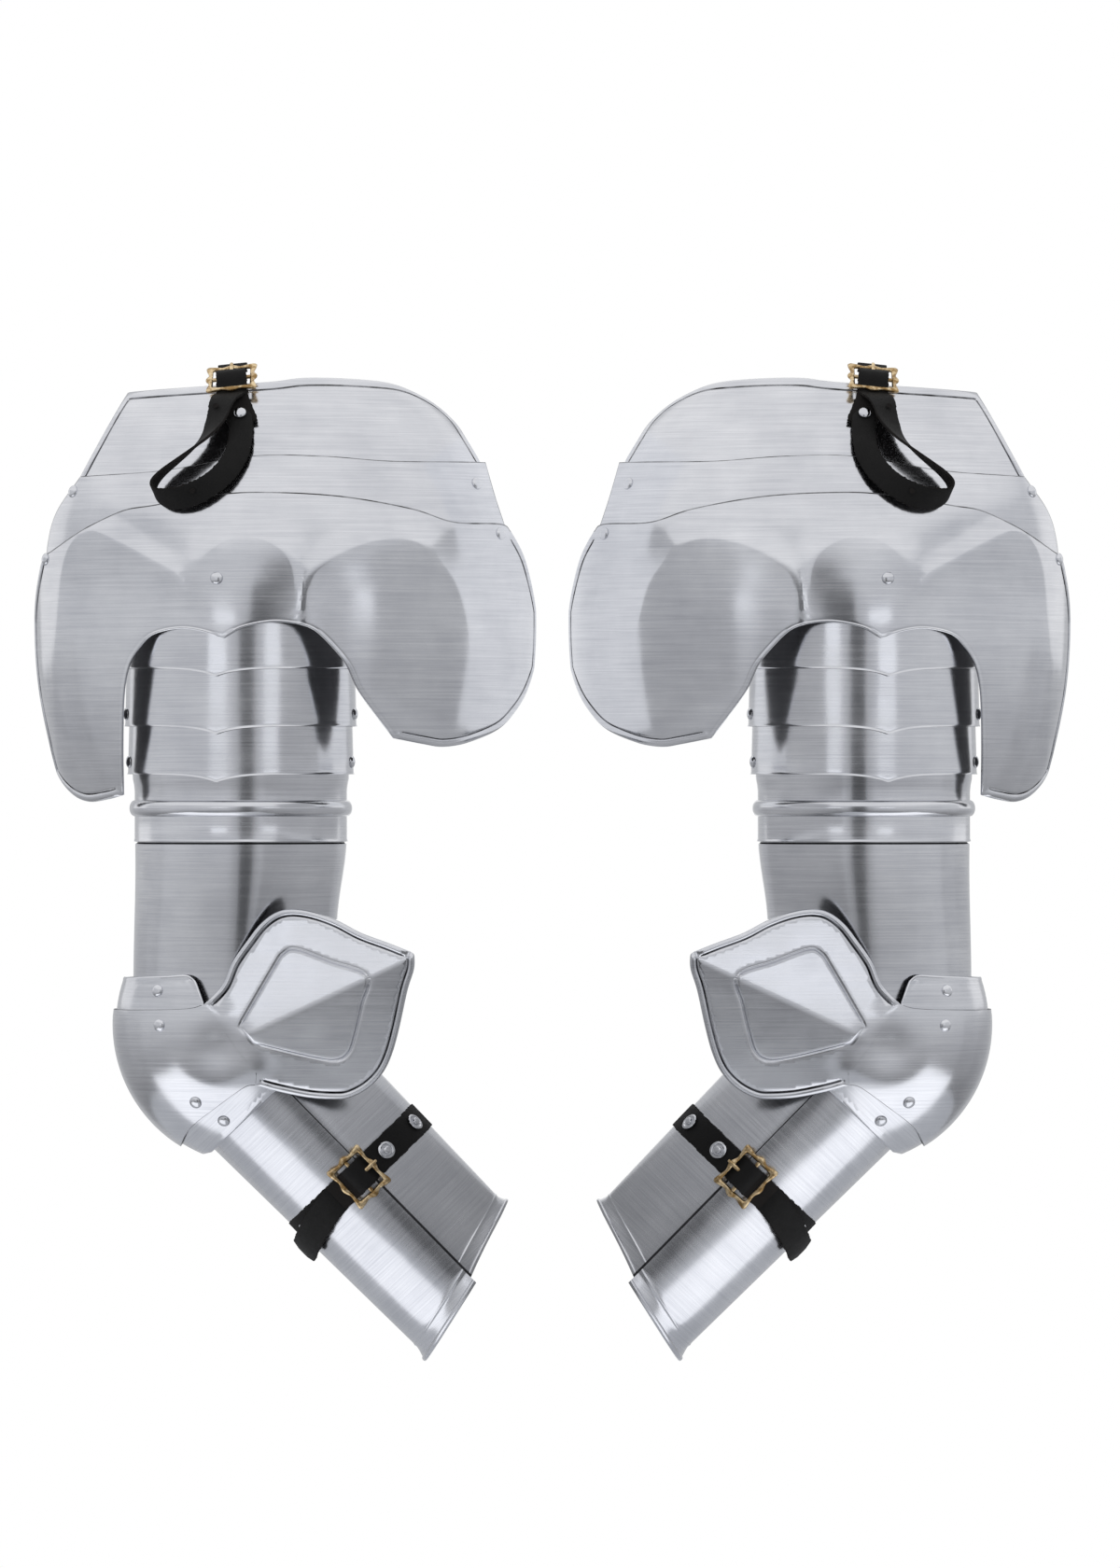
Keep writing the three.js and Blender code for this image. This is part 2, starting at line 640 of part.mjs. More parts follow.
const innerHalf = foreHalf(innerFrom, innerTo, foreInnerTop, cuffInner, cuffInnerSlope, foreScoop);

// Rows of a half with one row kept for the flared cuff
const foreRows = 3;
const foreColumns = 10;
const cuffed = (surface) => (across, up) => {
  const row = up * foreRows;
  return surface(across, row < 1 ? row * cuffRow : mix(cuffRow, 1, (row - 1) / (foreRows - 1)));
};

// Hinge of the two halves: a straight line behind the tube
const hingePoint = (along) => forePlace(along, foreMiddle(along), foreGirth(along) + hingeStand);
const hingeLine = hingePoint(foreLong).sub(hingePoint(0)).normalize();
const knuckleLong = hingeLong / 3;

// A round bar along a line, centred on a point
function bar(point, direction, radius, long, sides = rivetSides) {
  return solid(stand(new THREE.CylinderGeometry(radius, radius, long, sides), point, direction));
}

// A block with its length along the hinge line, its width to one side of it
function leaf(point, long, side) {
  const geometry = new THREE.BoxGeometry(leafWide, long, leafThick);
  geometry.translate((side * leafWide) / 2, 0, 0);
  const across = foreAside.clone();
  const out = new THREE.Vector3().crossVectors(across, hingeLine).normalize();
  const frame = new THREE.Matrix4().makeBasis(across, hingeLine, out);
  const base = point.clone().setY(point.y - hingeStand + leafThick / 2 - seatGap);
  return solid(geometry.applyMatrix4(frame.setPosition(base)));
}

function withKnuckles(body, side) {
  for (const station of hingeStations) {
    const places = side < 0 ? [-knuckleLong, knuckleLong] : [0];
    for (const place of places) {
      const point = hingePoint(station).addScaledVector(hingeLine, place);
      const long = knuckleLong - seatGap;
      const knuckle = bar(point, hingeLine, knuckleRadius, long).add(leaf(point, long, side));
      body = body.add(knuckle);
    }
  }
  for (const station of hingeStations) {
    body = body.subtract(bar(hingePoint(station), hingeLine, pinRadius + pinPlay, hingeLong + overrun));
  }
  return body;
}

function vambraceOuter() {
  let body = sheet(cuffed(outerHalf), foreColumns, foreRows, plate);
  for (const spot of lowerPivots) body = body.subtract(rivetHole(spot));
  for (const spot of chapeRivetSpots) body = body.add(leatherRivetOn(spot, strapThick + 2 * plate, seatGap));
  return withKnuckles(body, -1);
}
function vambraceInner() {
  let body = sheet(cuffed(innerHalf), foreColumns, foreRows, plate);
  for (const spot of studSpots) body = body.subtract(rivetHole(spot));
  return withKnuckles(body, 1);
}
const hingePin = (station) => bar(hingePoint(station), hingeLine, pinRadius, hingeLong);

// Buckle in its own frame: x along the strap, y along the middle bar, z out from the plate
const boxOf = (x0, x1, y0, y1, z0, z1) => {
  const geometry = new THREE.BoxGeometry(x1 - x0, y1 - y0, z1 - z0);
  return solid(geometry.translate((x0 + x1) / 2, (y0 + y1) / 2, (z0 + z1) / 2));
};
const yAxis = new THREE.Vector3(0, 1, 0);
const nowhere = new THREE.Vector3();

function buckleFrame() {
  const points = Array.from({ length: 2 * frameLobes }, (unused, i) => {
    const turn = (i * Math.PI) / frameLobes;
    const square = 1 / Math.max(Math.abs(Math.cos(turn)), Math.abs(Math.sin(turn)));
    const wave = frameWave * Math.cos(frameLobes * turn);
    const reach = frameHalf * Math.min(square, frameCornerShare) + wave;
    return new THREE.Vector2(reach * Math.cos(turn), reach * Math.sin(turn));
  });
  const shape = new THREE.Shape(points);
  const corners = [[-1, -1], [-1, 1], [1, 1], [1, -1]];
  const hole = corners.map(([x, y]) => new THREE.Vector2(x * windowHalf, y * windowHalf));
  shape.holes.push(new THREE.Path(hole));
  const geometry = new THREE.ExtrudeGeometry(shape, { depth: frameDeep, bevelEnabled: false });
  geometry.translate(0, 0, frameLift - frameDeep / 2);
  return solid(geometry).add(bar(nowhere, yAxis, barRadius, 2 * windowHalf + plate));
}

const eyeSides = 8;
function buckleTongue() {
  const prong = boxOf(0, tongueLong, -tongueWide / 2, tongueWide / 2, tongueLow, tongueLow + tongueThick);
  const eye = bar(nowhere, yAxis, tongueRing, tongueWide, eyeSides).add(prong);
  return eye.subtract(bar(nowhere, yAxis, barRadius + barPlay, overrun, eyeSides));
}

const loopOuter = barRadius + barPlay + loopWall;
const chapeLoop = () => bar(nowhere, yAxis, loopOuter, strapWide, eyeSides);
const chapeBore = () => {
  const reach = loopOuter + plate;
  const slot = boxOf(-tongueRing - barPlay, reach, -slotHalf, slotHalf, -reach, reach);
  return bar(nowhere, yAxis, barRadius + barPlay, overrun, eyeSides).add(slot);
};

// Strap heights through the buckle, as [x, height of the outer face above the plate]
const overLoop = barHeight + loopOuter + strapThick + 2 * seatGap;
const underBar = barHeight + frameLift - frameDeep / 2 - seatGap;
const threadedPath = [
  [frameHalf + seatGap, underBar],
  [windowHalf - 2 * seatGap, underBar],
  [loopOuter + seatGap, overLoop],
  [-loopOuter - seatGap, overLoop],
  [seatGap * 2 - windowHalf, underBar],
  [-frameHalf - seatGap, underBar],
];
const chapeTop = strapThick + 2 * seatGap;
const chapePath = [
  [0, barHeight - barRadius - barPlay],
  [-tongueRing - barPlay, barHeight - barRadius - 2 * barPlay],
  [-windowHalf + 2 * seatGap, chapeTop],
];

// A strip whose outer face passes through places, each with the direction of its width
function ribbon(stations, wide = strapWide) {
  const surface = (across, up) => {
    const place = across * (stations.length - 1);
    const index = Math.min(Math.floor(place), stations.length - 2);
    const [before, after] = [stations[index], stations[index + 1]];
    const width = before.width.clone().lerp(after.width, place - index).normalize();
    const point = before.point.clone().lerp(after.point, place - index);
    return point.addScaledVector(width, (up - 1 / 2) * wide);
  };
  return sheet(surface, stations.length - 1, 1, strapThick);
}

const placed = (body, matrix) => body.transform(matrix.elements);

// Forearm strap: unrolled along the tube, so x is an arc length and the height is above the plate
const foreWrap = (x, height, drift = 0) => {
  const turn = x / foreGirth(strapStation);
  return { point: foreRound(strapStation + drift, turn, -height), width: foreAlong.clone().negate() };
};
const foreBuckle = new THREE.Matrix4()
  .makeBasis(foreAside, foreAlong.clone().negate(), new THREE.Vector3(0, -1, 0))
  .setPosition(foreWrap(0, barHeight).point);
const studSpot = (x) => {
  const { point } = foreWrap(x, chapeTop);
  const turn = x / foreGirth(strapStation);
  const normal = foreAside.clone().multiplyScalar(Math.sin(turn)).setY(-Math.cos(turn));
  return { point, normal: normal.normalize() };
};
const studPlaces = [24, 57];
const studSpots = studPlaces.map(studSpot);
const chapeRivetPlaces = [-42, -58];
const chapeRivetSpots = chapeRivetPlaces.map(studSpot);
const strapStart = 76;
const leadEnd = 17;
const leadShares = [0, 0.17, 0.322, 0.508, 0.695, 0.881, 1];
const tailStart = -25;
const strapEnd = -84;
const tailShares = [0, 0.254, 0.508, 0.763, 1];
const chapeStart = -19;
const chapeEnd = -72;
const chapeShares = [0, 0.208, 0.434, 0.585, 0.736, 0.868, 1];
const tailLift = 8;
const tailDrift = 11;

function vambraceStrap() {
  const lead = leadShares.map((share) => foreWrap(mix(strapStart, leadEnd, share), chapeTop));
  const threaded = threadedPath.map(([x, height]) => foreWrap(x, height));
  const tail = tailShares.map((share) => {
    const x = mix(tailStart, strapEnd, share);
    return foreWrap(x, tailLift, tailDrift * smooth(-x, frameHalf, -strapEnd));
  });
  let body = ribbon([...tail.reverse(), ...threaded.reverse(), ...lead.reverse()]);
  for (const spot of studSpots) body = body.subtract(rivetHole(spot));
  return body.subtract(placed(boxOf(-seatGap, slotLong, -slotHalf, slotHalf, 0, overrun), foreBuckle));
}

function vambraceChape() {
  const run = chapeShares.map((share) => foreWrap(mix(chapeStart, chapeEnd, share), chapeTop));
  const round = chapePath.map(([x, height]) => foreWrap(x, height));
  let body = ribbon([...run.reverse(), ...round.reverse()]).add(placed(chapeLoop(), foreBuckle));
  body = body.subtract(placed(chapeBore(), foreBuckle));
  for (const spot of chapeRivetSpots) body = body.subtract(rivetHole(spot));
  return body;
}

// Washer stud: washer and head over the strap, shank through strap and plate, inner head
function washerStud({ point, normal }, x) {
  const lapped = foreLap * (1 - smooth(x / foreGirth(strapStation), lapFull, lapEnds));
  const reach = strapThick + plate + lapped + 5 * seatGap;
  const profile = [
    [0, -reach - rivetInnerDeep], [rivetInner, -reach - rivetInnerDeep], [rivetInner, -reach],
    [rivetShank, -reach], [rivetShank, seatGap], [washerWide / 2, seatGap],
    [washerWide / 2, washerThick + seatGap], [rivetHead, washerThick + seatGap],
    [0, washerThick + rivetDome],
  ].map(([radius, height]) => new THREE.Vector2(radius, height));
  return solid(stand(new THREE.LatheGeometry(profile, rivetSides), point, normal));
}

// Rivet that holds leather on a plate: shank from the plate, head over the leather
function leatherRivetOn({ point, normal }, down, layers) {
  const profile = [
    [0, -down], [rivetShank, -down], [rivetShank, layers], [rivetHead, layers], [0, layers + rivetDome],
  ].map(([radius, height]) => new THREE.Vector2(radius, height));
  return solid(stand(new THREE.LatheGeometry(profile, rivetSides), point, normal));
}

// Shoulder strap: a loop that hangs from the buckle on the rim and returns to the chape's rivet
const rimX = -3;
const rimLevel = -7.5;
const rimSpot = domeSpot(rimX, rimLevel, topInset);
const xAxis = new THREE.Vector3(1, 0, 0);
const upSlope = new THREE.Vector3().crossVectors(rimSpot.normal, xAxis).normalize();
const barLine = new THREE.Vector3().crossVectors(rimSpot.normal, upSlope).normalize();
const shoulderBuckle = new THREE.Matrix4()
  .makeBasis(upSlope, barLine, rimSpot.normal)
  .setPosition(rimSpot.point.clone().addScaledVector(rimSpot.normal, barHeight));
const rimPlace = (x, height) => ({
  point: rimSpot.point.clone().addScaledVector(upSlope, x).addScaledVector(rimSpot.normal, height),
  width: barLine.clone().negate(),
});
const overPlate = (inset) => ([x, level, height, wideX, wideZ]) => {
  const spot = domeSpot(x, level, inset);
  const width = new THREE.Vector3(wideX, 0, wideZ);
  width.addScaledVector(spot.normal, -width.dot(spot.normal)).normalize();
  return { point: spot.point.addScaledVector(spot.normal, height), width };
};
const chapeRivetX = 3;
const chapeRivetLevel = -29;
const shoulderRivet = domeSpot(chapeRivetX, chapeRivetLevel, topInset);
const shoulderStack = 2 * strapThick + 6 * seatGap;

// The loop's course as x, level, height over the plates, and the direction of its width
const loopCourse = [
  [-7, -25, 9.5, 0.98, -0.2], [-15, -37, 14, 0.86, -0.5], [-28, -52, 16, 0.8, -0.6],
  [-39, -65, 15, 0.76, -0.65], [-47, -74, 11, 0.72, -0.7], [-49.5, -77, 6.5, 0.7, -0.72],
  [-46, -76.5, 3, 0.66, -0.75], [-36, -74, 2.4, 0.6, -0.8], [-22, -67, 2.2, 0.58, -0.82],
  [-10, -57, 1.6, 0.66, -0.75], [-3, -46, 1.2, 0.8, -0.6],
];
const anchorCourse = [
  [1.6, -36, 3.2, 0.94, -0.34], [chapeRivetX, chapeRivetLevel, 2.8, 0.98, -0.2], [4, -24, 2.8, 1, -0.1],
];

const chapeCourse = [
  [-1, -20, chapeTop + 2 * seatGap, 1, 0], [chapeRivetX, chapeRivetLevel, chapeTop, 0.98, -0.2],
  [5, -35, chapeTop, 0.98, -0.2],
];

const leadBeyondFrame = 6;
function shoulderStrap() {
  const path = [[frameHalf + leadBeyondFrame, underBar], ...threadedPath];
  const threaded = path.map(([x, height]) => rimPlace(x, height));
  const hanging = [...loopCourse.map(overPlate(secondInset)), ...anchorCourse.map(overPlate(topInset))];
  let body = ribbon([...threaded, ...hanging]);
  body = body.subtract(placed(boxOf(-seatGap, slotLong, -slotHalf, slotHalf, 0, overrun), shoulderBuckle));
  return body.subtract(rivetHoleShort(shoulderRivet));
}

function rivetHoleShort({ point, normal }) {
  const radius = rivetShank + rivetPlay;
  const middle = point.clone().addScaledVector(normal, shoulderStack / 2);
  return bar(middle, normal, radius, shoulderStack + plate, rivetSides);
}

function shoulderChape() {
  const loop = chapePath.map(([x, height]) => rimPlace(x, height));
  const run = chapeCourse.map(overPlate(topInset));
  const body = ribbon([...loop, ...run]).add(placed(chapeLoop(), shoulderBuckle));
  return body.subtract(placed(chapeBore(), shoulderBuckle)).subtract(rivetHoleShort(shoulderRivet));
}

// One arm: name, solid and finish of every piece
function armPieces() {
  const lames = lameEdges.map((edge, i) => [`upper_lame_${i + 1}`, upperLame(i), steel]);
  const ends = ["upper", "lower"];
  const pins = ends.map((end, i) => [`vambrace_hinge_pin_${end}`, hingePin(hingeStations[i]), steel]);
  const washers = studSpots.map((spot, i) =>
    [`vambrace_strap_washer_${i + 1}`, washerStud(spot, studPlaces[i]), steel]);
  return [
    ["top_plate", topPlate(), steel],
    ["second_plate", secondPlate(), steel],
    ["main_plate", mainPlate(), steel],
    ["lame_leather", lameLeather(), leather],
    ...lames,
    ["collar", collar(), steel],
    ["upper_cannon", upperCannon(), steel],
    ["couter_upper_lame", couterUpperLame(), steel],
    ["couter", couter(), steel],
    ["couter_lower_lame", couterLowerLame(), steel],
    ["vambrace_outer", vambraceOuter(), steel],
    ["vambrace_inner", vambraceInner(), steel],
    ...pins,
    ["vambrace_chape", vambraceChape(), leather],
    ["vambrace_buckle_frame", placed(buckleFrame(), foreBuckle), brass],
    ["vambrace_buckle_tongue", placed(buckleTongue(), foreBuckle), brass],
    ["vambrace_strap", vambraceStrap(), leather],
    ...washers,
    ["shoulder_chape", shoulderChape(), leather],
    ["shoulder_buckle_frame", placed(buckleFrame(), shoulderBuckle), brass],
    ["shoulder_buckle_tongue", placed(buckleTongue(), shoulderBuckle), brass],
    ["shoulder_strap", shoulderStrap(), leather],
  ];
}

// The left arm is the right arm's mirror image
const pieces = armPieces();
const group = new THREE.Group();
const strapTop = rimPlace(0, overLoop).point;
for (const [side, place, mirror] of [["right", 0, 1], ["left", pairSpacing, -1]]) {
  const arm = new THREE.Group();
  arm.position.set(place - mirror * strapTop.x, -strapTop.y, -strapTop.z);
  arm.scale.set(mirror, 1, 1);
  for (const [name, body, finish] of pieces) arm.add(piece(`${side}_${name}`, body, finish()));
  group.add(arm);
}
export default group;
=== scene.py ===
# %% [markdown]
# # A mirrored pair of plate arm harnesses
# The object is a pair of polished steel arms: three shoulder plates, three lames on a leather,
# a turning upper cannon, an elbow with a wing, and a hinged forearm that buckles shut.
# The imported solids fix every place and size. The scene lays fine sheets over them, made from the
# same curves, typed again here, with many more points, because polished steel shows each facet.
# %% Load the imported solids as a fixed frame
import math
import bpy
import numpy as np
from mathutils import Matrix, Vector
from mathutils.geometry import delaunay_2d_cdt


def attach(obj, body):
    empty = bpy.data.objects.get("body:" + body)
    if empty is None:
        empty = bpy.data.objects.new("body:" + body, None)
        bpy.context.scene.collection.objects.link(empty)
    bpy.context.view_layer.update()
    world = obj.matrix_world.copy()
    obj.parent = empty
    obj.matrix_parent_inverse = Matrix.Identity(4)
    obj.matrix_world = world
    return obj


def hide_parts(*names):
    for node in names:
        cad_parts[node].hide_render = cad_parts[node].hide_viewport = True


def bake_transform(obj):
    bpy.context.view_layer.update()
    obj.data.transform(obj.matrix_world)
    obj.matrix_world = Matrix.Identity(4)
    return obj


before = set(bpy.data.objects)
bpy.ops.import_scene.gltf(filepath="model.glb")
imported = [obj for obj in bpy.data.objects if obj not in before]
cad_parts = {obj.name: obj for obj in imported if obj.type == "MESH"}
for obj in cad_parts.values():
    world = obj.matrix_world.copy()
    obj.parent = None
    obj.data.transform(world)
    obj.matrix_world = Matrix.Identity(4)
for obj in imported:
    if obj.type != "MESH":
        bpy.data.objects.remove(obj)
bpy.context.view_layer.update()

# %% [markdown]
# ## Where things are
# All shapes are worked out in millimetres in the right arm's own frame: X to the crook of the
# elbow, Y away from the viewer, Z up. The left arm is the mirror image at a set spacing.
# %% From the arm's frame to the row frame
ARM_ORIGIN = np.array([4.943, 16.407, -1.748])
PAIR_SPACING = 417.6
SIDES = ("right", "left")
PLATE = 1.2
NEST = 1.8
SEAT = 0.3


def to_row(points, side):
    moved = np.asarray(points, float) + ARM_ORIGIN
    if side == "left":
        moved[:, 0] = PAIR_SPACING - moved[:, 0]
    return moved / 1000


# %% [markdown]
# ## Colours
# Hex values are how people write a colour they see on a screen, which is sRGB. A shader adds
# light, so it needs linear values. One function turns the first into the second.
# %% sRGB hex to linear
def linear(code):
    channels = [int(code[i:i + 2], 16) / 255 for i in (1, 3, 5)]
    return [c / 12.92 if c <= 0.04045 else ((c + 0.055) / 1.055) ** 2.4 for c in channels] + [1.0]


# %% One function that adds a node with its settings and links
def add(tree, kind, links=None, **settings):
    node = tree.nodes.new("ShaderNode" + kind)
    for name, value in settings.items():
        if hasattr(node, name):
            setattr(node, name, value)
        else:
            node.inputs[name.replace("_", " ")].default_value = value
    for socket, source in (links or {}).items():
        tree.links.new(source, node.inputs[socket])
    return node


def new_material(name):
    material = bpy.data.materials.new(name)
    material.use_nodes = True
    material.node_tree.nodes.clear()
    return material, material.node_tree


def two_tone(tree, factor, low, high):
    tone = add(tree, "Mix", {"Factor": factor}, data_type="RGBA")
    tone.inputs["A"].default_value = linear(low)
    tone.inputs["B"].default_value = linear(high)
    return tone.outputs["Result"]


def ramp(tree, factor, low, high, start=0.0, end=1.0):
    tone = add(tree, "ValToRGB", {"Fac": factor})
    for element, code, place in zip(tone.color_ramp.elements, (low, high), (start, end)):
        element.position, element.color = place, linear(code)
    return tone.outputs[0]


def skin(tree, links, **settings):
    """The last two nodes of a material: its surface, and the output."""
    surface = add(tree, "BsdfPrincipled", links, **settings)
    add(tree, "OutputMaterial", {"Surface": surface.outputs[0]})


# %% [markdown]
# ## Polished sheet steel
# The plates are mild steel, hammered to shape, ground, and polished by hand with a belt. The
# belt leaves fine scratches about 0.3 mm apart that run round the limb, and the hammer leaves
# shallow waves some 40 mm long that bend the reflections. Metal keeps the default IOR. The
# scratches are drawn at 1 mm, coarser than real, so that they still show in a picture.
# %% Steel for one polishing direction
def polished_steel(name, tilt, base="#E4E5E9", rough=0.17):
    material, tree = new_material(name)
    place = add(tree, "TexCoord").outputs["Object"]
    turned = add(tree, "Mapping", {"Vector": place}, Rotation=(0, tilt, 0)).outputs[0]
    # Long thin grains: 1 mm across the stroke, 60 mm along it
    strokes = add(tree, "Mapping", {"Vector": turned}, Scale=(16, 16, 1000)).outputs[0]
    grain = add(tree, "TexNoise", {"Vector": strokes}, Scale=1.0, Detail=3.0, Roughness=0.6)
    # Patches about 50 mm wide where the polish is finer or duller
    patches = add(tree, "TexNoise", {"Vector": place}, Scale=20.0, Detail=4.0, Roughness=0.55)
    # Hammer waves about 40 mm long
    waves = add(tree, "TexNoise", {"Vector": place}, Scale=25.0, Detail=1.0, Roughness=0.4)
    worn = add(tree, "Math", {0: patches.outputs["Fac"], 1: grain.outputs["Fac"]}, operation="ADD")
    share = add(tree, "MapRange", {"Value": worn.outputs[0]}, From_Min=0.45, From_Max=1.55)
    tone = two_tone(tree, share.outputs[0], "#B6B8BF", base)
    polish = add(tree, "MapRange", {"Value": grain.outputs["Fac"]},
                 To_Min=rough - 0.05, To_Max=rough + 0.07)
    dulled = add(tree, "MapRange", {"Value": patches.outputs["Fac"]}, From_Min=0.35, From_Max=0.75,
                 To_Min=-0.03, To_Max=0.06)
    roughness = add(tree, "Math", {0: polish.outputs[0], 1: dulled.outputs[0]}, operation="ADD")
    scratched = add(tree, "Bump", {"Height": grain.outputs["Fac"]}, Strength=0.03, Distance=0.0003)
    hammered = add(tree, "Bump", {"Height": waves.outputs["Fac"], "Normal": scratched.outputs[0]},
                   Strength=0.2, Distance=0.002)
    skin(tree, {"Base Color": tone, "Roughness": roughness.outputs[0], "Normal": hammered.outputs[0]},
         Metallic=1.0)
    return material


FORE_TILT = math.radians(43.9)
steel_arm = polished_steel("Polished steel, belt strokes round the upper arm", 0)
steel_fore = {side: polished_steel(f"Polished steel, belt strokes round the {side} forearm", tilt, rough=0.21)
              for side, tilt in (("right", FORE_TILT), ("left", -FORE_TILT))}
steel_bright = polished_steel("Polished steel rivets and pins", 0, "#E4E5E8", 0.16)

# %% Steel inside the plates, hammered, its colour painted dark as the shade inside them
steel_inside_painted_shade, tree = new_material("Steel inside the plates, hammered, painted dark as shade")
place = add(tree, "TexCoord").outputs["Object"]
# Mottled patches of painted shade about 12 mm wide, hammer marks about 9 mm wide
inside_shade_mottle = add(tree, "TexNoise", {"Vector": place}, Scale=80.0, Detail=6.0, Roughness=0.65)
marks = add(tree, "TexVoronoi", {"Vector": place}, Scale=110.0, feature="SMOOTH_F1", Smoothness=0.6)
tone = ramp(tree, inside_shade_mottle.outputs["Fac"], "#222223", "#5A5A5D")
dents = add(tree, "Bump", {"Height": marks.outputs["Distance"]}, Strength=0.5, Distance=0.001)
skin(tree, {"Base Color": tone, "Normal": dents.outputs[0]}, Metallic=1.0, Roughness=0.55)

# %% Seam line: where one plate ends on the next, and in the groove inside a rolled rim, the steel is painted dark as shade and left duller
steel_seam_painted_shade, tree = new_material("Steel at seams and rim grooves, painted dark as shade")
seam_shade_mottle = add(tree, "TexNoise", {"Vector": add(tree, "TexCoord").outputs["Object"]}, Scale=70.0, Detail=5.0)
tone = ramp(tree, seam_shade_mottle.outputs["Fac"], "#3C3B3C", "#A3A4A8", 0.35, 0.65)
skin(tree, {"Base Color": tone}, Metallic=1.0, Roughness=0.4)
print("steel finishes", len(bpy.data.materials))

# %% [markdown]
# ## Leather and brass
# The straps are black vegetable-tanned leather about 2 mm thick, cut with a knife and left raw
# at the edge, so the edge is browner and fuzzy. Leather scatters light with a broad soft shine.
# The buckles are cast brass, tumbled and darkened, brightest where a strap rubs them.
# %% Leather
def black_leather(name, face, low, high):
    material, tree = new_material(name)
    place = add(tree, "TexCoord").outputs["Object"]
    # Grain cells 0.9 mm across, and creases about 6 mm apart where the strap bends
    grain = add(tree, "TexVoronoi", {"Vector": place}, Scale=1100.0, feature="DISTANCE_TO_EDGE")
    creases = add(tree, "TexNoise", {"Vector": place}, Scale=160.0, Detail=5.0, Roughness=0.65)
    blotch = add(tree, "TexNoise", {"Vector": place}, Scale=60.0, Detail=3.0)
    tone = two_tone(tree, blotch.outputs["Fac"], low, high)
    cells = add(tree, "MapRange", {"Value": grain.outputs["Distance"]}, From_Max=0.35)
    pebbled = add(tree, "Bump", {"Height": cells.outputs[0]}, Strength=0.35, Distance=0.0002)
    creased = add(tree, "Bump", {"Height": creases.outputs["Fac"], "Normal": pebbled.outputs[0]},
                  Strength=0.5, Distance=0.0006)
    shine = add(tree, "MapRange", {"Value": creases.outputs["Fac"]}, To_Min=face - 0.12, To_Max=face + 0.12)
    skin(tree, {"Base Color": tone, "Roughness": shine.outputs[0], "Normal": creased.outputs[0]},
         IOR=1.5, Specular_IOR_Level=0.2)
    return material


leather_face = black_leather("Black leather, grain side", 0.62, "#060606", "#0F0E0E")
leather_edge = black_leather("Black leather, raw cut edge", 0.9, "#0C0B0B", "#231F1D")


# %% Brass
brass, tree = new_material("Cast brass, tumbled and darkened")
place = add(tree, "TexCoord").outputs["Object"]
# Casting skin with pits about 1 mm wide
pits = add(tree, "TexNoise", {"Vector": place}, Scale=900.0, Detail=3.0)
patina = add(tree, "TexNoise", {"Vector": place}, Scale=220.0, Detail=5.0, Roughness=0.6)
dark = add(tree, "MapRange", {"Value": patina.outputs["Fac"]}, From_Min=0.42, From_Max=0.6)
tone = two_tone(tree, dark.outputs[0], "#96794F", "#E3CDA6")
pitted = add(tree, "Bump", {"Height": pits.outputs["Fac"]}, Strength=0.25, Distance=0.0003)
gloss = add(tree, "MapRange", {"Value": patina.outputs["Fac"]}, To_Min=0.42, To_Max=0.2)
skin(tree, {"Base Color": tone, "Roughness": gloss.outputs[0], "Normal": pitted.outputs[0]}, Metallic=1.0)

# %% [markdown]
# ## Meshes from arrays
# Every sheet is a surface function, sampled into an array of points, then given its thickness.
# Arrays keep thousands of points quick. Each piece is made once and placed on both arms.
# %% Small helpers for curves and surfaces
def mix(a, b, t):
    return a + (b - a) * t


def smooth(x, low, high):
    t = np.clip((np.asarray(x, float) - low) / (high - low), 0, 1)
    return t * t * (3 - 2 * t)


def unit(v):
    v = np.asarray(v, float)
    return v / np.maximum(np.linalg.norm(v, axis=-1, keepdims=True), 1e-9)


def curve_through(points, steps=8):
    """A smooth curve through places; two places stay a straight line."""
    p = np.asarray(points, float)
    if len(p) < 3:
        return p
    q = np.vstack([2 * p[0] - p[1], p, 2 * p[-1] - p[-2]])
    out = []
    for i in range(len(p) - 1):
        a, b, c, d = q[i:i + 4]
        t = np.arange(steps)[:, None] / steps
        out.append(0.5 * (2 * b + (c - a) * t + (2 * a - 5 * b + 4 * c - d) * t**2
                          + (3 * b - a - 3 * c + d) * t**3))
    return np.vstack(out + [p[-1:]])


def resample(points, step):
    p = np.asarray(points, float)
    length = np.r_[0, np.cumsum(np.linalg.norm(np.diff(p, axis=0), axis=1))]
    at = np.linspace(0, length[-1], max(2, int(round(length[-1] / step)) + 1))
    return np.column_stack([np.interp(at, length, p[:, k]) for k in range(p.shape[1])])


def normals_of(surface, u, v, step=0.25):
    along = surface(u + step, v) - surface(u - step, v)
    rise = surface(u, v + step) - surface(u, v - step)
    return unit(np.cross(along, rise))


# %% Objects for both arms
FINISHES = {"arm": lambda side: (steel_arm, steel_inside_painted_shade, steel_seam_painted_shade),
            "fore": lambda side: (steel_fore[side], steel_inside_painted_shade, steel_seam_painted_shade),
            "bright": lambda side: (steel_bright,),
            "brass": lambda side: (brass,),
            "leather": lambda side: (leather_face, leather_edge, leather_edge)}


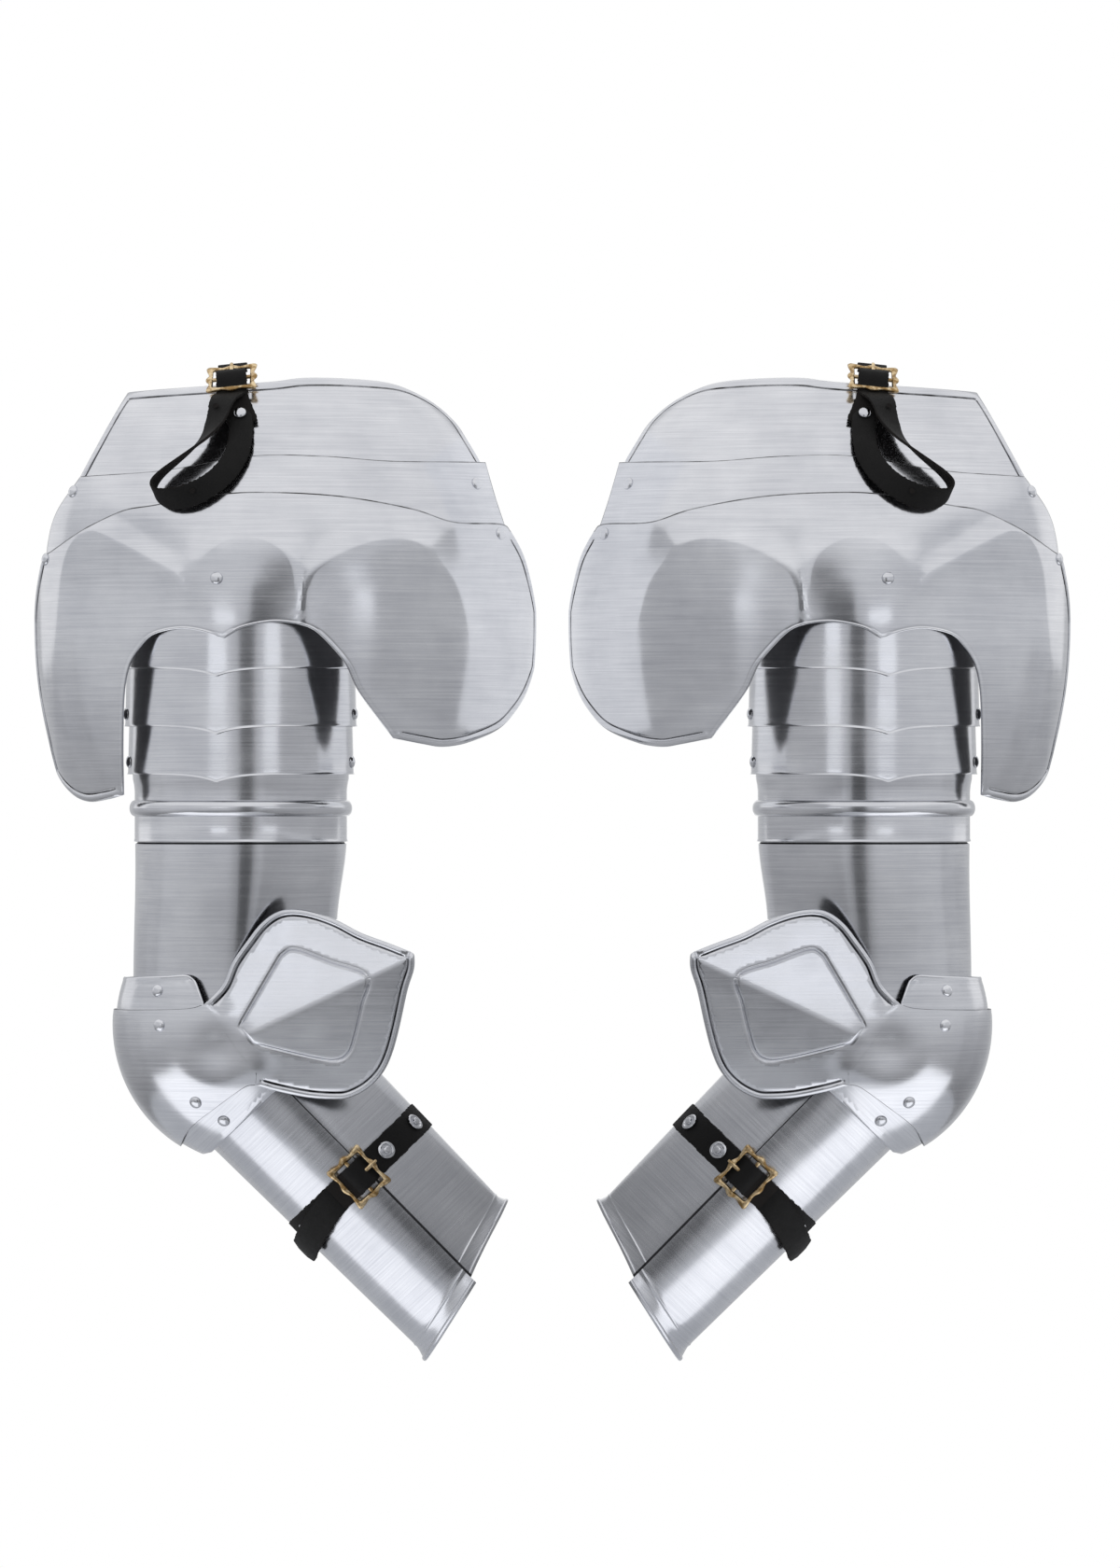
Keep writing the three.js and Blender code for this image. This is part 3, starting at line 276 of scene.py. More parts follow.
def on_both_arms(name, shell, finish, body=None, nodes=None, crease=38, bent=None):
    """Builds right_NAME and left_NAME from points, faces and kinds: 0 for the outer face, 1 for the
    inner, which on steel is painted dark as shade, 2 for a strap's cut edge, and on steel for seams and
    rim grooves painted dark as shade. The body is NAME_body and the node it stands for NAME, unless said.
    bent: (second body, start level, end level) of a piece that spans a joint; such a piece stays where it is, on no
    body, and its second body and levels are not used."""
    points, faces, kinds = shell
    body = body or name + "_body"
    for side in SIDES:
        mesh = bpy.data.meshes.new(f"{side}_{name}_fine")
        order = -1 if side == "left" else 1
        mesh.from_pydata([tuple(p) for p in to_row(points, side)], [], [tuple(f)[::order] for f in faces])
        for material in FINISHES[finish](side):
            mesh.materials.append(material)
        mesh.polygons.foreach_set("material_index", np.minimum(kinds, len(mesh.materials) - 1))
        mesh.shade_smooth()
        mesh.set_sharp_from_angle(angle=math.radians(crease))
        obj = bpy.data.objects.new(f"{side}_{name}_fine", mesh)
        bpy.context.scene.collection.objects.link(obj)
        named = [side + "_" + node for node in ([name] if nodes is None else nodes)]
        if bent:
            start, end = to_row([(0, 0, bent[1]), (0, 0, bent[2])], side)
            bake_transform(obj)
        else:
            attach(obj, body if body == "shoulder_plates" else f"{side}_{body}")
        if named:
            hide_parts(*named)
    print(name, len(points), "points", len(faces), "faces")


# %% A sheet over a grid of a surface, with its thickness
def grid_shell(surface, us, vs, thickness, proud=None, ring=False, shaded=None):
    """Points, faces and kinds; proud(u, v) lifts the outer face, the inner one follows it.
    shaded(u, v) tells where the outer face lies under or just beside another plate's edge; those faces get the dark
    inside steel, as painted shade."""
    u, v = [a.ravel() for a in np.meshgrid(us, vs)]
    normal = normals_of(surface, u, v)
    lift = proud(u, v)[:, None] if proud else 0
    outer = surface(u, v) + normal * lift
    inner = outer - normal * thickness
    wide, tall, n = len(us), len(vs), len(u)
    faces = []
    last = wide if ring else wide - 1
    at = lambda i, j: j * wide + i % wide
    for j in range(tall - 1):
        for i in range(last):
            q = [at(i, j), at(i + 1, j), at(i + 1, j + 1), at(i, j + 1)]
            faces += [q, [n + k for k in reversed(q)]]
    kinds = [0, 1] * (len(faces) // 2)
    # Painted shade: outer faces under or beside another plate's edge get the dark inside steel
    if shaded:
        kinds[0::2] = [int(shaded(us[i:i + 2].mean(), vs[j])) for j in range(tall - 1) for i in range(last)]
    for i in range(last):
        a, b, c, d = at(i, 0), at(i + 1, 0), at(i + 1, tall - 1), at(i, tall - 1)
        faces += [[n + a, n + b, b, a], [d, c, n + c, n + d]]
    for j in range(0 if ring else tall - 1):
        a, b, c, d = at(0, j), at(0, j + 1), at(wide - 1, j), at(wide - 1, j + 1)
        faces += [[a, b, n + b, n + a], [n + c, n + d, d, c]]
    return np.vstack([outer, inner]), faces, kinds + [0] * (len(faces) - len(kinds))


# %% A sheet cut to an outline in the surface's own (u, v) plane
# Width of the band of painted seam shade along a plain seam, in millimetres
SEAM_SHADE_WIDTH = 0.85


def nearest(starts, ends, q):
    """For each place: the distance to the nearest stretch, which one it is, and the share along it."""
    best, near, share = np.full(len(q), 1e9), np.zeros(len(q), int), np.zeros(len(q))
    for i, (a, b) in enumerate(zip(starts, ends)):
        ab = b - a
        t = np.clip(((q - a) @ ab) / max(ab @ ab, 1e-12), 0, 1)
        d = np.linalg.norm(q - a - t[:, None] * ab, axis=1)
        closer = d < best
        best[closer], near[closer], share[closer] = d[closer], i, t[closer]
    return best, near, share


def distance_to(line, q):
    return nearest(line[:-1], line[1:], q)[0]


def inside_of(line, q):
    inside = np.zeros(len(q), bool)
    for (x0, y0), (x1, y1) in zip(line[:-1], line[1:]):
        hit = (y0 > q[:, 1]) != (y1 > q[:, 1])
        inside ^= hit & (q[:, 0] < x0 + (q[:, 1] - y0) * (x1 - x0) / (y1 - y0 + 1e-12))
    return inside


def cut_shell(surface, loops, fill, thickness, rims, lift=None, step=1.6, guides=(), joined=()):
    """loops: stretches of the outline as (points, roll height, roll width). rims: distances in
    from the edge that get their own rows of points. lift(u, v) is extra relief. guides: lines that
    get rows of points too, as (line, offsets). joined: stretches that meet another piece edge to edge, which get no
    painted seam shade."""
    edge, height, width, seam = [], [], [], []
    for i, (points, high, wide) in enumerate(loops):
        p = resample(points, step)[:-1]
        run = np.arange(len(p)) * step
        fade = smooth(run, 0, 6) * smooth(run[::-1] + step, 0, 6) if high else np.zeros(len(p))
        edge.append(p)
        height.append(high * fade)
        width.append(np.full(len(p), wide))
        seam.append(np.full(len(p), high == 0 and i not in joined))
    edge, height, width, seam = np.vstack(edge), np.hstack(height), np.hstack(width), np.hstack(seam)
    n = len(edge)
    after, before = np.roll(edge, -1, 0), np.roll(edge, 1, 0)
    turn = np.sum(edge[:, 0] * after[:, 1] - after[:, 0] * edge[:, 1])
    if turn < 0:
        edge, height, width, seam = edge[::-1], height[::-1], width[::-1], seam[::-1]
        after, before = np.roll(edge, -1, 0), np.roll(edge, 1, 0)
    inward = unit(np.column_stack([before[:, 1] - after[:, 1], after[:, 0] - before[:, 0]]))

    around = np.vstack([edge, edge[:1]])
    rows = []
    for distance in rims:
        q = edge + inward * distance
        rows.append(q[distance_to(around, q) > 0.93 * distance])
    low, high = edge.min(0), edge.max(0)
    us, vs = np.arange(low[0], high[0], fill), np.arange(low[1], high[1], fill * 0.87)
    grid = np.array([[a + (j % 2) * fill / 2, b] for j, b in enumerate(vs) for a in us])
    grid = grid[inside_of(around, grid)]
    grid = grid[distance_to(around, grid) > max(rims) + fill * 0.45]
    for line, offsets in guides:
        line = resample(line, step)
        side = unit(np.gradient(line, axis=0))[:, ::-1] * [1, -1]
        grid = grid[distance_to(line, grid) > max(offsets) + fill * 0.4]
        for offset in offsets:
            q = line + side * offset
            q = q[distance_to(line, q) > 0.9 * abs(offset)]
            rows.append(q[(distance_to(around, q) > max(rims) + 0.5) & inside_of(around, q)])
    places = np.vstack([edge, *rows, grid])
    result = delaunay_2d_cdt([Vector(p) for p in places], [], [list(range(n))], 1, 1e-5)
    flat = np.array([[p.x, p.y] for p in result[0]])
    source = {orig: k for k, origins in enumerate(result[3]) for orig in origins}
    rim = [source[i] for i in range(n)]
    d, near, t = nearest(edge, after, flat)
    roll_high = mix(height[near], height[(near + 1) % n], t)
    roll_wide = width[near]
    inside_roll = np.clip(1 - ((d - roll_wide / 2) / (roll_wide / 2)) ** 2, 0, None)
    groove = -0.5 * np.exp(-((d - roll_wide) / 0.5) ** 2)
    raise_by = roll_high * (np.sqrt(inside_roll) + groove)
    u, v = flat[:, 0], flat[:, 1]
    if lift is not None:
        raise_by = raise_by + lift(u, v)
    normal = normals_of(surface, u, v)
    outer = surface(u, v) + normal * raise_by[:, None]
    inner = surface(u, v) + normal * (np.minimum(raise_by, 0.5) - thickness)[:, None]
    count = len(flat)
    faces, kinds = [], []
    # Painted shade: faces near a plain seam, and along the groove inside a rolled rim, get the dark seam steel
    seam_and_groove_shade = seam[near] & (d < SEAM_SHADE_WIDTH) | (roll_high > 0.3) & (np.abs(d - roll_wide) < 0.45)
    for a, b, c in result[2]:
        area = (u[b] - u[a]) * (v[c] - v[a]) - (u[c] - u[a]) * (v[b] - v[a])
        tri = [a, b, c] if area > 0 else [a, c, b]
        faces += [tri, [count + k for k in reversed(tri)]]
        kinds += [2 if seam_and_groove_shade[tri].all() else 0, 1]
    for a, b in zip(rim, rim[1:] + rim[:1]):
        faces.append([a, count + a, count + b, b])
        kinds.append(2 if seam_and_groove_shade[a] else 0)
    return np.vstack([outer, inner]), faces, kinds


# %% Joining piles of points and faces
def pile(*parts):
    points, faces, kinds, start = [], [], [], 0
    for p, f, k in parts:
        points.append(p)
        faces += [[i + start for i in face] for face in f]
        kinds += list(k)
        start += len(p)
    return np.vstack(points), faces, kinds


# %% Round things on an axis: rivets, pins, washers
def rings(rows, wide, closed_up=False):
    """Faces between rows of points that each close into a ring; closed_up joins the last row too."""
    at = lambda j, i: j % rows * wide + i % wide
    return [[at(j, i), at(j, i + 1), at(j + 1, i + 1), at(j + 1, i)]
            for j in range(rows if closed_up else rows - 1) for i in range(wide)]


def turned(profile, point, axis, sides=28):
    """profile: (radius, height) from the bottom of the axis to its top."""
    axis = unit(axis)
    side = unit(np.cross(axis, [0.31, 0.95, 0.07]))
    other = np.cross(axis, side)
    turn = np.arange(sides) * 2 * math.pi / sides
    spoke = np.cos(turn)[:, None] * side + np.sin(turn)[:, None] * other
    points = np.vstack([point + axis * h + spoke * r for r, h in profile])
    faces = rings(len(profile), sides)
    low, high = len(points), len(points) + 1
    points = np.vstack([points, point + axis * profile[0][1], point + axis * profile[-1][1]])
    top = (len(profile) - 1) * sides
    for i in range(sides):
        faces.append([low, (i + 1) % sides, i])
        faces.append([high, top + i, top + (i + 1) % sides])
    return points, faces, [0] * len(faces)


def dome_head(radius, tall, base=0.0, steps=6):
    angles = np.linspace(0, math.pi / 2, steps + 1)[:-1]
    return [(radius, base - 0.3)] + [(radius * math.cos(a), base + tall * math.sin(a)) for a in angles] \
        + [(radius * 0.1, base + tall)]

# %% [markdown]
# ## Shoulder plates
# Three plates raised from sheet over a stake. They share one rounded form: wide and shallow,
# with a swelling over the arm. Each is cut to its own outline. The outer rims are rolled over
# a wire for strength, and the seams where plates slide stay plain.
# %% The shoulder's form
DOME = dict(x=30, back=44, level=-161.4, half=163, deep=118, rise=175, drop=226)
BULGE = dict(x=-3, wide=62, out=6.5, start=-62, full=-165)
UNROLL = 110.0
DOME_TURN = math.radians(86)


def dome_girth(level, inset):
    rise = np.asarray(level, float) - DOME["level"]
    reach = np.where(rise > 0, DOME["rise"], DOME["drop"]) - inset
    power = np.where(rise > 0, 2.3, 2.0)
    return np.clip(1 - np.abs(rise / reach) ** power, 1e-6, 1) ** (1 / power)


def dome_width(level, inset, leftward):
    """The half width at a level; the plates are wider toward the neck at their top."""
    wider = np.interp(level, (-161, -117, -73, -10), (0, 1, 5, 16))
    return (DOME["half"] - inset) * dome_girth(level, inset) + wider * leftward


def dome(inset):
    def surface(u, level):
        turn = np.asarray(u, float) / UNROLL
        girth = dome_girth(level, inset)
        x = DOME["x"] + dome_width(level, inset, turn < 0) * np.sin(turn)
        side = np.minimum(np.abs(x - BULGE["x"]) / BULGE["wide"], 1)
        bulge = BULGE["out"] * np.cos(side * math.pi / 2) ** 2
        bulge = bulge * smooth(-np.asarray(level, float), -BULGE["start"], -BULGE["full"])
        y = DOME["back"] - (DOME["deep"] - inset) * girth * np.cos(turn) - bulge
        return np.column_stack([x, y, np.broadcast_to(level, x.shape)])
    return surface


def on_dome(points, inset):
    """Places in the picture plane, (x, z), to the dome's own (u, level)."""
    p = np.asarray(points, float)
    wide = dome_width(p[:, 1], inset, p[:, 0] < DOME["x"])
    turn = np.arcsin(np.clip((p[:, 0] - DOME["x"]) / wide, -1, 1))
    return np.column_stack([np.clip(turn, -DOME_TURN, DOME_TURN) * UNROLL, p[:, 1]])


def dome_places(shares):
    return np.array([[DOME["x"] + x * DOME["half"], DOME["level"] + z * DOME["rise"]] for x, z in shares])


def dome_edge(shares, inset, drop=0):
    return on_dome(curve_through(dome_places(shares) - [0, drop]), inset)


# %% Outlines, in shares of the dome's half width and rise
TOP_SEAM = [(.8, .6), (.438, .597), (.155, .614), (-.125, .614), (-.479, .562), (-.81, .545)]
TOP_RIM = [(-.626, .861), (-.085, .891), (.085, .909), (.298, .905), (.438, .888), (.578, .826),
           (.677, .747), (.733, .669), (.79, .58)]
MAIN_SEAM = [(.902, .343), (.861, .37), (.677, .374), (.508, .422), (.228, .466), (-.055, .48),
             (-.239, .473), (-.504, .435), (-.674, .401), (-.964, .25)]
LEFT_WING = [(-.964, .25), (-.99, .12), (-.998, 0), (-.994, -.158), (-.972, -.288), (-.942, -.418),
             (-.902, -.552), (-.843, -.627), (-.773, -.658), (-.688, -.648), (-.633, -.634)]
ARCH_LEFT = [(-.633, -.634), (-.633, -.446), (-.626, -.261), (-.604, -.158), (-.563, -.093),
             (-.508, -.045), (-.409, -.024), (-.324, -.031), (-.228, -.058)]
ARCH_RIGHT = [(-.228, -.058), (-.155, -.021), (-.04, 0), (.059, -.007), (.129, -.031), (.199, -.093),
              (.254, -.158), (.298, -.247), (.368, -.339), (.438, -.425)]
RIGHT_WING = [(.438, -.425), (.552, -.446), (.633, -.456), (.733, -.439), (.847, -.394), (.917, -.326),
              (.964, -.247), (.994, -.144), (1.001, -.024), (.994, .079), (.972, .185), (.946, .264),
              (.902, .343)]
# The top plate's left side, in millimetres
TOP_LEFT = [[-102, -81], [-103, -68], [-72, -10.7]]
# Height and width of the rolled rim, distances in from it that get points, depth of a tucked seam
ROLL = (1.0, 4.8)
RIMS = (0.25, 0.8, 1.6, 2.4, 3.2, 4.0, 4.5, 4.8, 5.15, 5.6, 6.6, 8.4)
TUCK = 15

# %% Top plate
inset = 2 * NEST
top_loops = [(dome_edge(TOP_SEAM, inset, drop=TUCK), 0, 1),
             (on_dome(resample(TOP_LEFT, 3), inset), *ROLL),
             (dome_edge(TOP_RIM, inset), *ROLL)]
top_loops.append((np.vstack([top_loops[2][0][-1], top_loops[0][0][0]]), 0, 1))
top_shell = cut_shell(dome(inset), top_loops, 4.0, PLATE, RIMS)

# %% Second plate
inset = NEST
right_end = dome_edge([(.8, .6), (.839, .473), (.88, .357)], inset)
left_end = dome_edge([(-.95, .2), (-.945, .3), (-.909, .415), (-.81, .545)], inset)
lower = dome_edge(MAIN_SEAM[1:-1], inset, drop=TUCK)
second_loops = [(dome_edge(TOP_SEAM[::-1], inset), 0, 1), (right_end, 0, 1),
                (np.vstack([right_end[-1], lower[0]]), 0, 1), (lower, 0, 1),
                (np.vstack([lower[-1], left_end[0]]), 0, 1), (left_end, 0, 1)]
second_shell = cut_shell(dome(inset), second_loops, 4.0, PLATE, (0.5, 1.5, 3.5))

# %% [markdown]
# ## Main plate and its relief
# The main plate carries an arch over the arm. Above the arch its middle is raised into a
# rounded boss with a soft crease down each side, so the arm's swelling meets the wings in
# two shallow valleys. The relief is a few millimetres, and the polish shows all of it.
# %% Main plate
LOBES = [
    # Left wing, boss and right wing, in the picture plane
    [(-117, -245), (-119, -185), (-116, -155), (-112, -125), (-104, -108), (-91, -102), (-73, -110), (-55, -120),
     (-40, -129), (-33, -139), (-32, -156), (-36, -180), (-80, -300), (-117, -300)],
    [(-31, -155), (-30, -137), (-22, -119), (-8, -108), (6, -105), (22, -108), (36, -119), (41, -137), (39, -161),
     (34, -190), (-25, -190)],
    [(46, -185), (44, -155), (48, -131), (64, -118), (84, -109), (105, -106), (121, -111), (131, -125), (143, -141),
     (151, -169), (150, -209), (140, -250), (70, -300), (50, -230)],
]


def closed(places):
    return curve_through([*places, places[0]], 6)


LOBE_LINES = [closed(lobe) for lobe in LOBES]


def main_relief(u, v):
    """Each lobe is a flat facet, proud of the valleys round it, with a crease for its edge."""
    q = dome(0)(u, v)[:, [0, 2]]
    raised = np.zeros(len(q))
    for line in LOBE_LINES:
        off = distance_to(line, q)
        within = inside_of(line, q)
        top = np.interp(-q[:, 1], (105, 125, 200), (2.2, 2.0, 1.0))
        fall = np.clip(1 - off / 15, 0, 1) ** 2
        raised = np.maximum(raised, top * np.where(within, 1 - 0.35 * smooth(off, 0, 24), fall))
    return raised


inset = 0
main_loops = [(dome_edge(MAIN_SEAM, inset), 0, 1), (dome_edge(LEFT_WING, inset), *ROLL),
              (dome_edge(ARCH_LEFT, inset), 0.35, 1.6), (dome_edge(ARCH_RIGHT, inset), 0.35, 1.6),
              (dome_edge(RIGHT_WING, inset), *ROLL)]
main_shell = cut_shell(dome(inset), main_loops, 4.0, PLATE, RIMS, main_relief,
                       guides=[(on_dome(line, 0), (-2.4, -1.2, 0, 1.2, 2.4)) for line in LOBE_LINES])

# %% Rivets of the shoulder
def dome_spot(x, z, inset):
    u, v = on_dome([[x, z]], inset)[0]
    u, v = np.array([u]), np.array([v])
    return dome(inset)(u, v)[0], normals_of(dome(inset), u, v)[0]


def rivet_at(spot, radius=4.1, tall=2.3, under=None, base=0.0):
    point, normal = spot
    parts = [turned(dome_head(radius, tall, base), point, normal)]
    if under:
        parts.append(turned([(3.4, -under - 0.9), (3.4, -under), (1.7, -under), (1.7, 0)], point, normal))
    return pile(*parts)


def dome_rivets(shares, inset, under, base=0.0):
    return [rivet_at(dome_spot(x, z, inset), under=under, base=base) for x, z in dome_places(shares)]


second_rivets = dome_rivets([(-.84, .49), (.766, .518)], NEST, 4.4)
main_rivets = dome_rivets([(-.952, .24), (.861, .333)], 0, 4.4) + dome_rivets([(-.254, .161)], 0, 4.4, 1.7)
on_both_arms("top_plate", top_shell, "arm", "shoulder_plates")
on_both_arms("second_plate", pile(second_shell, *second_rivets), "arm")
on_both_arms("main_plate", pile(main_shell, *main_rivets), "arm")

# %% [markdown]
# ## Lames of the upper arm
# Three hoops of sheet, each a little smaller than the one above and tucked 15 mm inside it.
# The lower edge comes to a point over the middle of the arm. They hang on a leather inside and
# pivot on a rivet at each side, so the arm can lift.
# %% Lames
ARM_X = 2


def round_arm(angle, radius, level):
    return np.column_stack([ARM_X + radius * np.sin(angle), -radius * np.cos(angle), level])


LAME_TURN = 118
LAME_RADII = [75.6, 73.8, 72.0]
LAME_EDGES = [-190.8, -228, -259]
LAME_TOPS = [-149, -175.8, -213]
# The point of the lower edge: its place in degrees round the arm, its depth and its width
CUSP = dict(turn=-11, deep=5.5, wide=13)
LAME_BELL = 1.2


def lame(i):
    def surface(turn, up):
        angle = np.radians(turn)
        radius = LAME_RADII[i] + LAME_BELL * (1 - up / 100)
        off = radius * np.abs(np.sin(angle) - math.sin(math.radians(CUSP["turn"])))
        bottom = LAME_EDGES[i] - CUSP["deep"] * np.exp(-off / CUSP["wide"]) * np.maximum(np.cos(angle), 0)
        return round_arm(angle, radius, mix(bottom, LAME_TOPS[i], up / 100))
    return surface


def ring_spots(radius, level, turn=80):
    spots = []
    for side in (-1, 1):
        a = math.radians(turn) * side
        normal = np.array([math.sin(a), -math.cos(a), 0])
        spots.append((np.array([ARM_X, 0, level]) + normal * radius, normal))
    return spots


def lip(turn, up):
    return 0.5 * np.clip(1 - up / 3.5, 0, 1) ** 2


ups = np.array([0, 0.7, 1.4, 2.1, 2.8, 3.5, 8, 20, 40, 60, 80, 96, 100.0])
for i in range(3):
    shell = grid_shell(lame(i), np.linspace(-LAME_TURN, LAME_TURN, 181), ups, PLATE, lip)
    heads = [rivet_at(s, under=4.6) for s in ring_spots(LAME_RADII[i] + 0.96, LAME_EDGES[i] + 8)]
    on_both_arms(f"upper_lame_{i + 1}", pile(shell, *heads), "arm")

# %% [markdown]
# ## Collar and upper cannon
# The collar is a tube with a hollow bead pressed into it. The cannon's top has a flange that
# sits inside that bead, so the cannon turns in the collar and can't drop out. Below the collar
# the cannon's tube is oval and leans a little toward the elbow.
# %% Collar
ROUND = np.linspace(0, 360, 145)[:-1]


def tube(profile):
    """A surface (degrees, run along the profile) from (radius, level) places."""
    p = np.asarray(profile, float)
    run = np.r_[0, np.cumsum(np.linalg.norm(np.diff(p, axis=0), axis=1))]

    def surface(turn, along):
        return round_arm(np.radians(turn), np.interp(along, run, p[:, 0]), np.interp(along, run, p[:, 1]))
    return surface, run


COLLAR = 68.8
bead = [(COLLAR + 3.4 * math.sin(t), -281 - 5.2 * math.cos(t)) for t in np.linspace(0, math.pi, 13)]
collar_profile = [(69.3, -302.4), (69.1, -301.6), (COLLAR, -300.6), (COLLAR, -290), (COLLAR, -287.4), *bead,
                  (COLLAR, -274.6), (COLLAR, -270), (69.2, -266), (70.0, -262), (70.2, -258), (70.2, -241)]
surface, run = tube(collar_profile)
on_both_arms("collar", grid_shell(surface, ROUND, run, PLATE, ring=True), "arm", crease=50)

# %% Upper cannon
NECK = 66.85
CANNON_RINGS = [(-279.2, NECK + 1.56), (-281, NECK + 2.6), (-285.5, NECK), (-303, NECK), (-304.2, 68.5),
                (-407, 66)]
# How far the elbow end is flattened, leans over, and is cut away in the crook
CANNON_FLAT, CANNON_LEAN, CANNON_SCOOP = 8, 3.5, 54


def cannon(turn, along):
    """along counts rings from the bottom up, so 0 is the elbow end."""
    place = 5 - np.asarray(along, float)
    levels = np.interp(place, range(6), [r[0] for r in CANNON_RINGS])
    radius = np.interp(place, range(6), [r[1] for r in CANNON_RINGS])
    down = smooth(-levels, 303, 407)
    a = np.radians(turn)
    depth = radius - CANNON_FLAT * down
    lift = CANNON_SCOOP * np.clip(place - 4, 0, 1) * smooth(np.sin(a), 0, 1)
    x = ARM_X - CANNON_LEAN * down + radius * np.sin(a)
    return np.column_stack([x, -depth * np.cos(a), levels + lift])


alongs = np.r_[np.linspace(0, 1, 15), 1.1, 1.5, 2, 2.5, 3, 3.5, 4, 4.5, 5]
on_both_arms("upper_cannon", grid_shell(cannon, ROUND, alongs, PLATE, ring=True), "arm", crease=50)

# %% [markdown]
# ## Elbow
# The cop is raised deep over a ball stake. A lame above and a lame below slide under it on
# rivets, so four pivots share the bend. The wing is folded on a ridge and drawn out from the
# cop in one piece of metal, so the two forms flow together in a valley.
# %% Elbow form and its own (u, v) plane
ELBOW = np.array([12, -421.0])
ELBOW_WIDE, ELBOW_DEEP, UNWRAP = 92.0, 72.0, 80.0


def elbow(inset):
    wide, deep = ELBOW_WIDE - inset + PLATE, ELBOW_DEEP - inset + PLATE

    def surface(u, v):
        turn, tilt = np.asarray(u, float) / UNWRAP, np.asarray(v, float) / UNWRAP
        out = wide * np.cos(tilt)
        return np.column_stack([ELBOW[0] + out * np.cos(turn), -deep * np.sin(tilt), ELBOW[1] + out * np.sin(turn)])
    return surface


def elbow_places(shares):
    return ELBOW + np.asarray(shares, float) * ELBOW_WIDE


def round_elbow(stretches, inset):
    """Outline in the picture plane, from silhouette to silhouette, to loops on both sides."""
    wide = ELBOW_WIDE - inset + PLATE
    front = []
    for stretch in stretches:
        p = resample(curve_through(stretch), 1.5) - ELBOW
        r = np.hypot(p[:, 0], p[:, 1])
        turn = np.mod(np.arctan2(p[:, 1], p[:, 0]), 2 * math.pi)
        tilt = np.arccos(np.clip(r / wide, 0, 1))
        front.append(np.column_stack([turn, np.minimum(tilt, math.radians(84))]) * UNWRAP)
    back = [f[::-1] * [1, -1] for f in reversed(front)]
    return front + back


COP_EDGE = [[(-1.003, .109), (-.835, .11), (-.476, .122), (-.346, .154)],
            [(-.346, .154), (-.24, .02), (-.12, -.16), (.02, -.33)], [(.02, -.33), (.013, -.413)],
            [(.013, -.413), (-.072, -.433), (-.28, -.583), (-.45, -.72), (-.532, -.86)]]
cop_loops = [(loop, 0, 1) for loop in round_elbow([elbow_places(s) for s in COP_EDGE], 0)]


VALLEY = dict(x=-12.5, z=-435.5, deep=3.6, wide=10)


def valley(x, z):
    """How far the metal is driven in where the cop meets the root of the wing."""
    off = ((x - VALLEY["x"]) / VALLEY["wide"]) ** 2 + ((z - VALLEY["z"]) / VALLEY["wide"]) ** 2
    return VALLEY["deep"] * np.exp(-0.5 * off)


def cop(u, v):
    points = elbow(0)(u, v)
    points[:, 1] += valley(points[:, 0], points[:, 2]) * (points[:, 1] < 0)
    return points


cop_shell = cut_shell(cop, cop_loops, 2.6, PLATE, (0.4, 1.2, 2.4), joined=(1,))

# %% Wing
WING = [[(-.346, .154), (-.222, .285), (-.15, .448), (-.046, .598), (.046, .715), (.15, .793), (.267, .82),
         (.417, .8), (.587, .741), (.75, .657), (.946, .585), (1.096, .526)],
        [(1.096, .526), (1.122, .5), (1.122, .402), (1.076, .252), (1.017, -.015), (.965, -.198), (.9, -.328),
         (.796, -.433), (.672, -.498), (.567, -.511), (.378, -.498), (.15, -.452), (.013, -.413)],
        [(.013, -.413), (.02, -.33), (-.12, -.16), (-.24, .02), (-.346, .154)]]
PANEL = [(-.091, -.002), (.05, .245), (.196, .493), (.287, .533), (.54, .445), (.789, .35), (.75, .15),
         (.704, -.048), (.659, -.178), (.567, -.23), (.378, -.204), (0, -.113), (-.091, -.002)]
SEAM = elbow_places(WING[2])
# How far the ridge stands out at its root and its tip, and how fast the wing falls away from it
RIDGE, WING_SLOPE = (74, 92), 0.19


def wing(u, v):
    q = np.column_stack([np.asarray(u, float), np.asarray(v, float)])
    start, end = elbow_places([(-.059, -.067), (1.05, .454)])
    ridge = end - start
    along = ((q - start) @ ridge) / (ridge @ ridge)
    aside = np.abs(ridge[0] * (q[:, 1] - start[1]) - ridge[1] * (q[:, 0] - start[0])) / np.linalg.norm(ridge)
    soft = np.sqrt(aside ** 2 + 0.8 ** 2) - 0.8
    front = np.where(along > 0, mix(*RIDGE, along), RIDGE[0] + 25 * along) - WING_SLOPE * soft
    r = np.linalg.norm(q - ELBOW, axis=1)
    ball = (ELBOW_DEEP + PLATE) * np.sqrt(np.clip(1 - (r / (ELBOW_WIDE + PLATE)) ** 2, 0, 1))
    blend = smooth(distance_to(SEAM, q), 0, 17)
    return np.column_stack([q[:, 0], valley(q[:, 0], q[:, 1]) - mix(ball, front, blend), q[:, 1]])


panel_line = curve_through(elbow_places(PANEL[2:-1]), 6)
panel_line = np.vstack([elbow_places(PANEL[:2]), panel_line, elbow_places(PANEL[-1:])])


def wing_relief(u, v):
    q = np.column_stack([u, v])
    off = distance_to(panel_line, q) * np.where(inside_of(panel_line, q), 1, -1)
    step = 0.9 * smooth(off, -0.9, 0.9) - 0.75 * np.exp(-((off + 0.9) / 0.8) ** 2)
    return step * smooth(distance_to(SEAM, q), 4, 14)


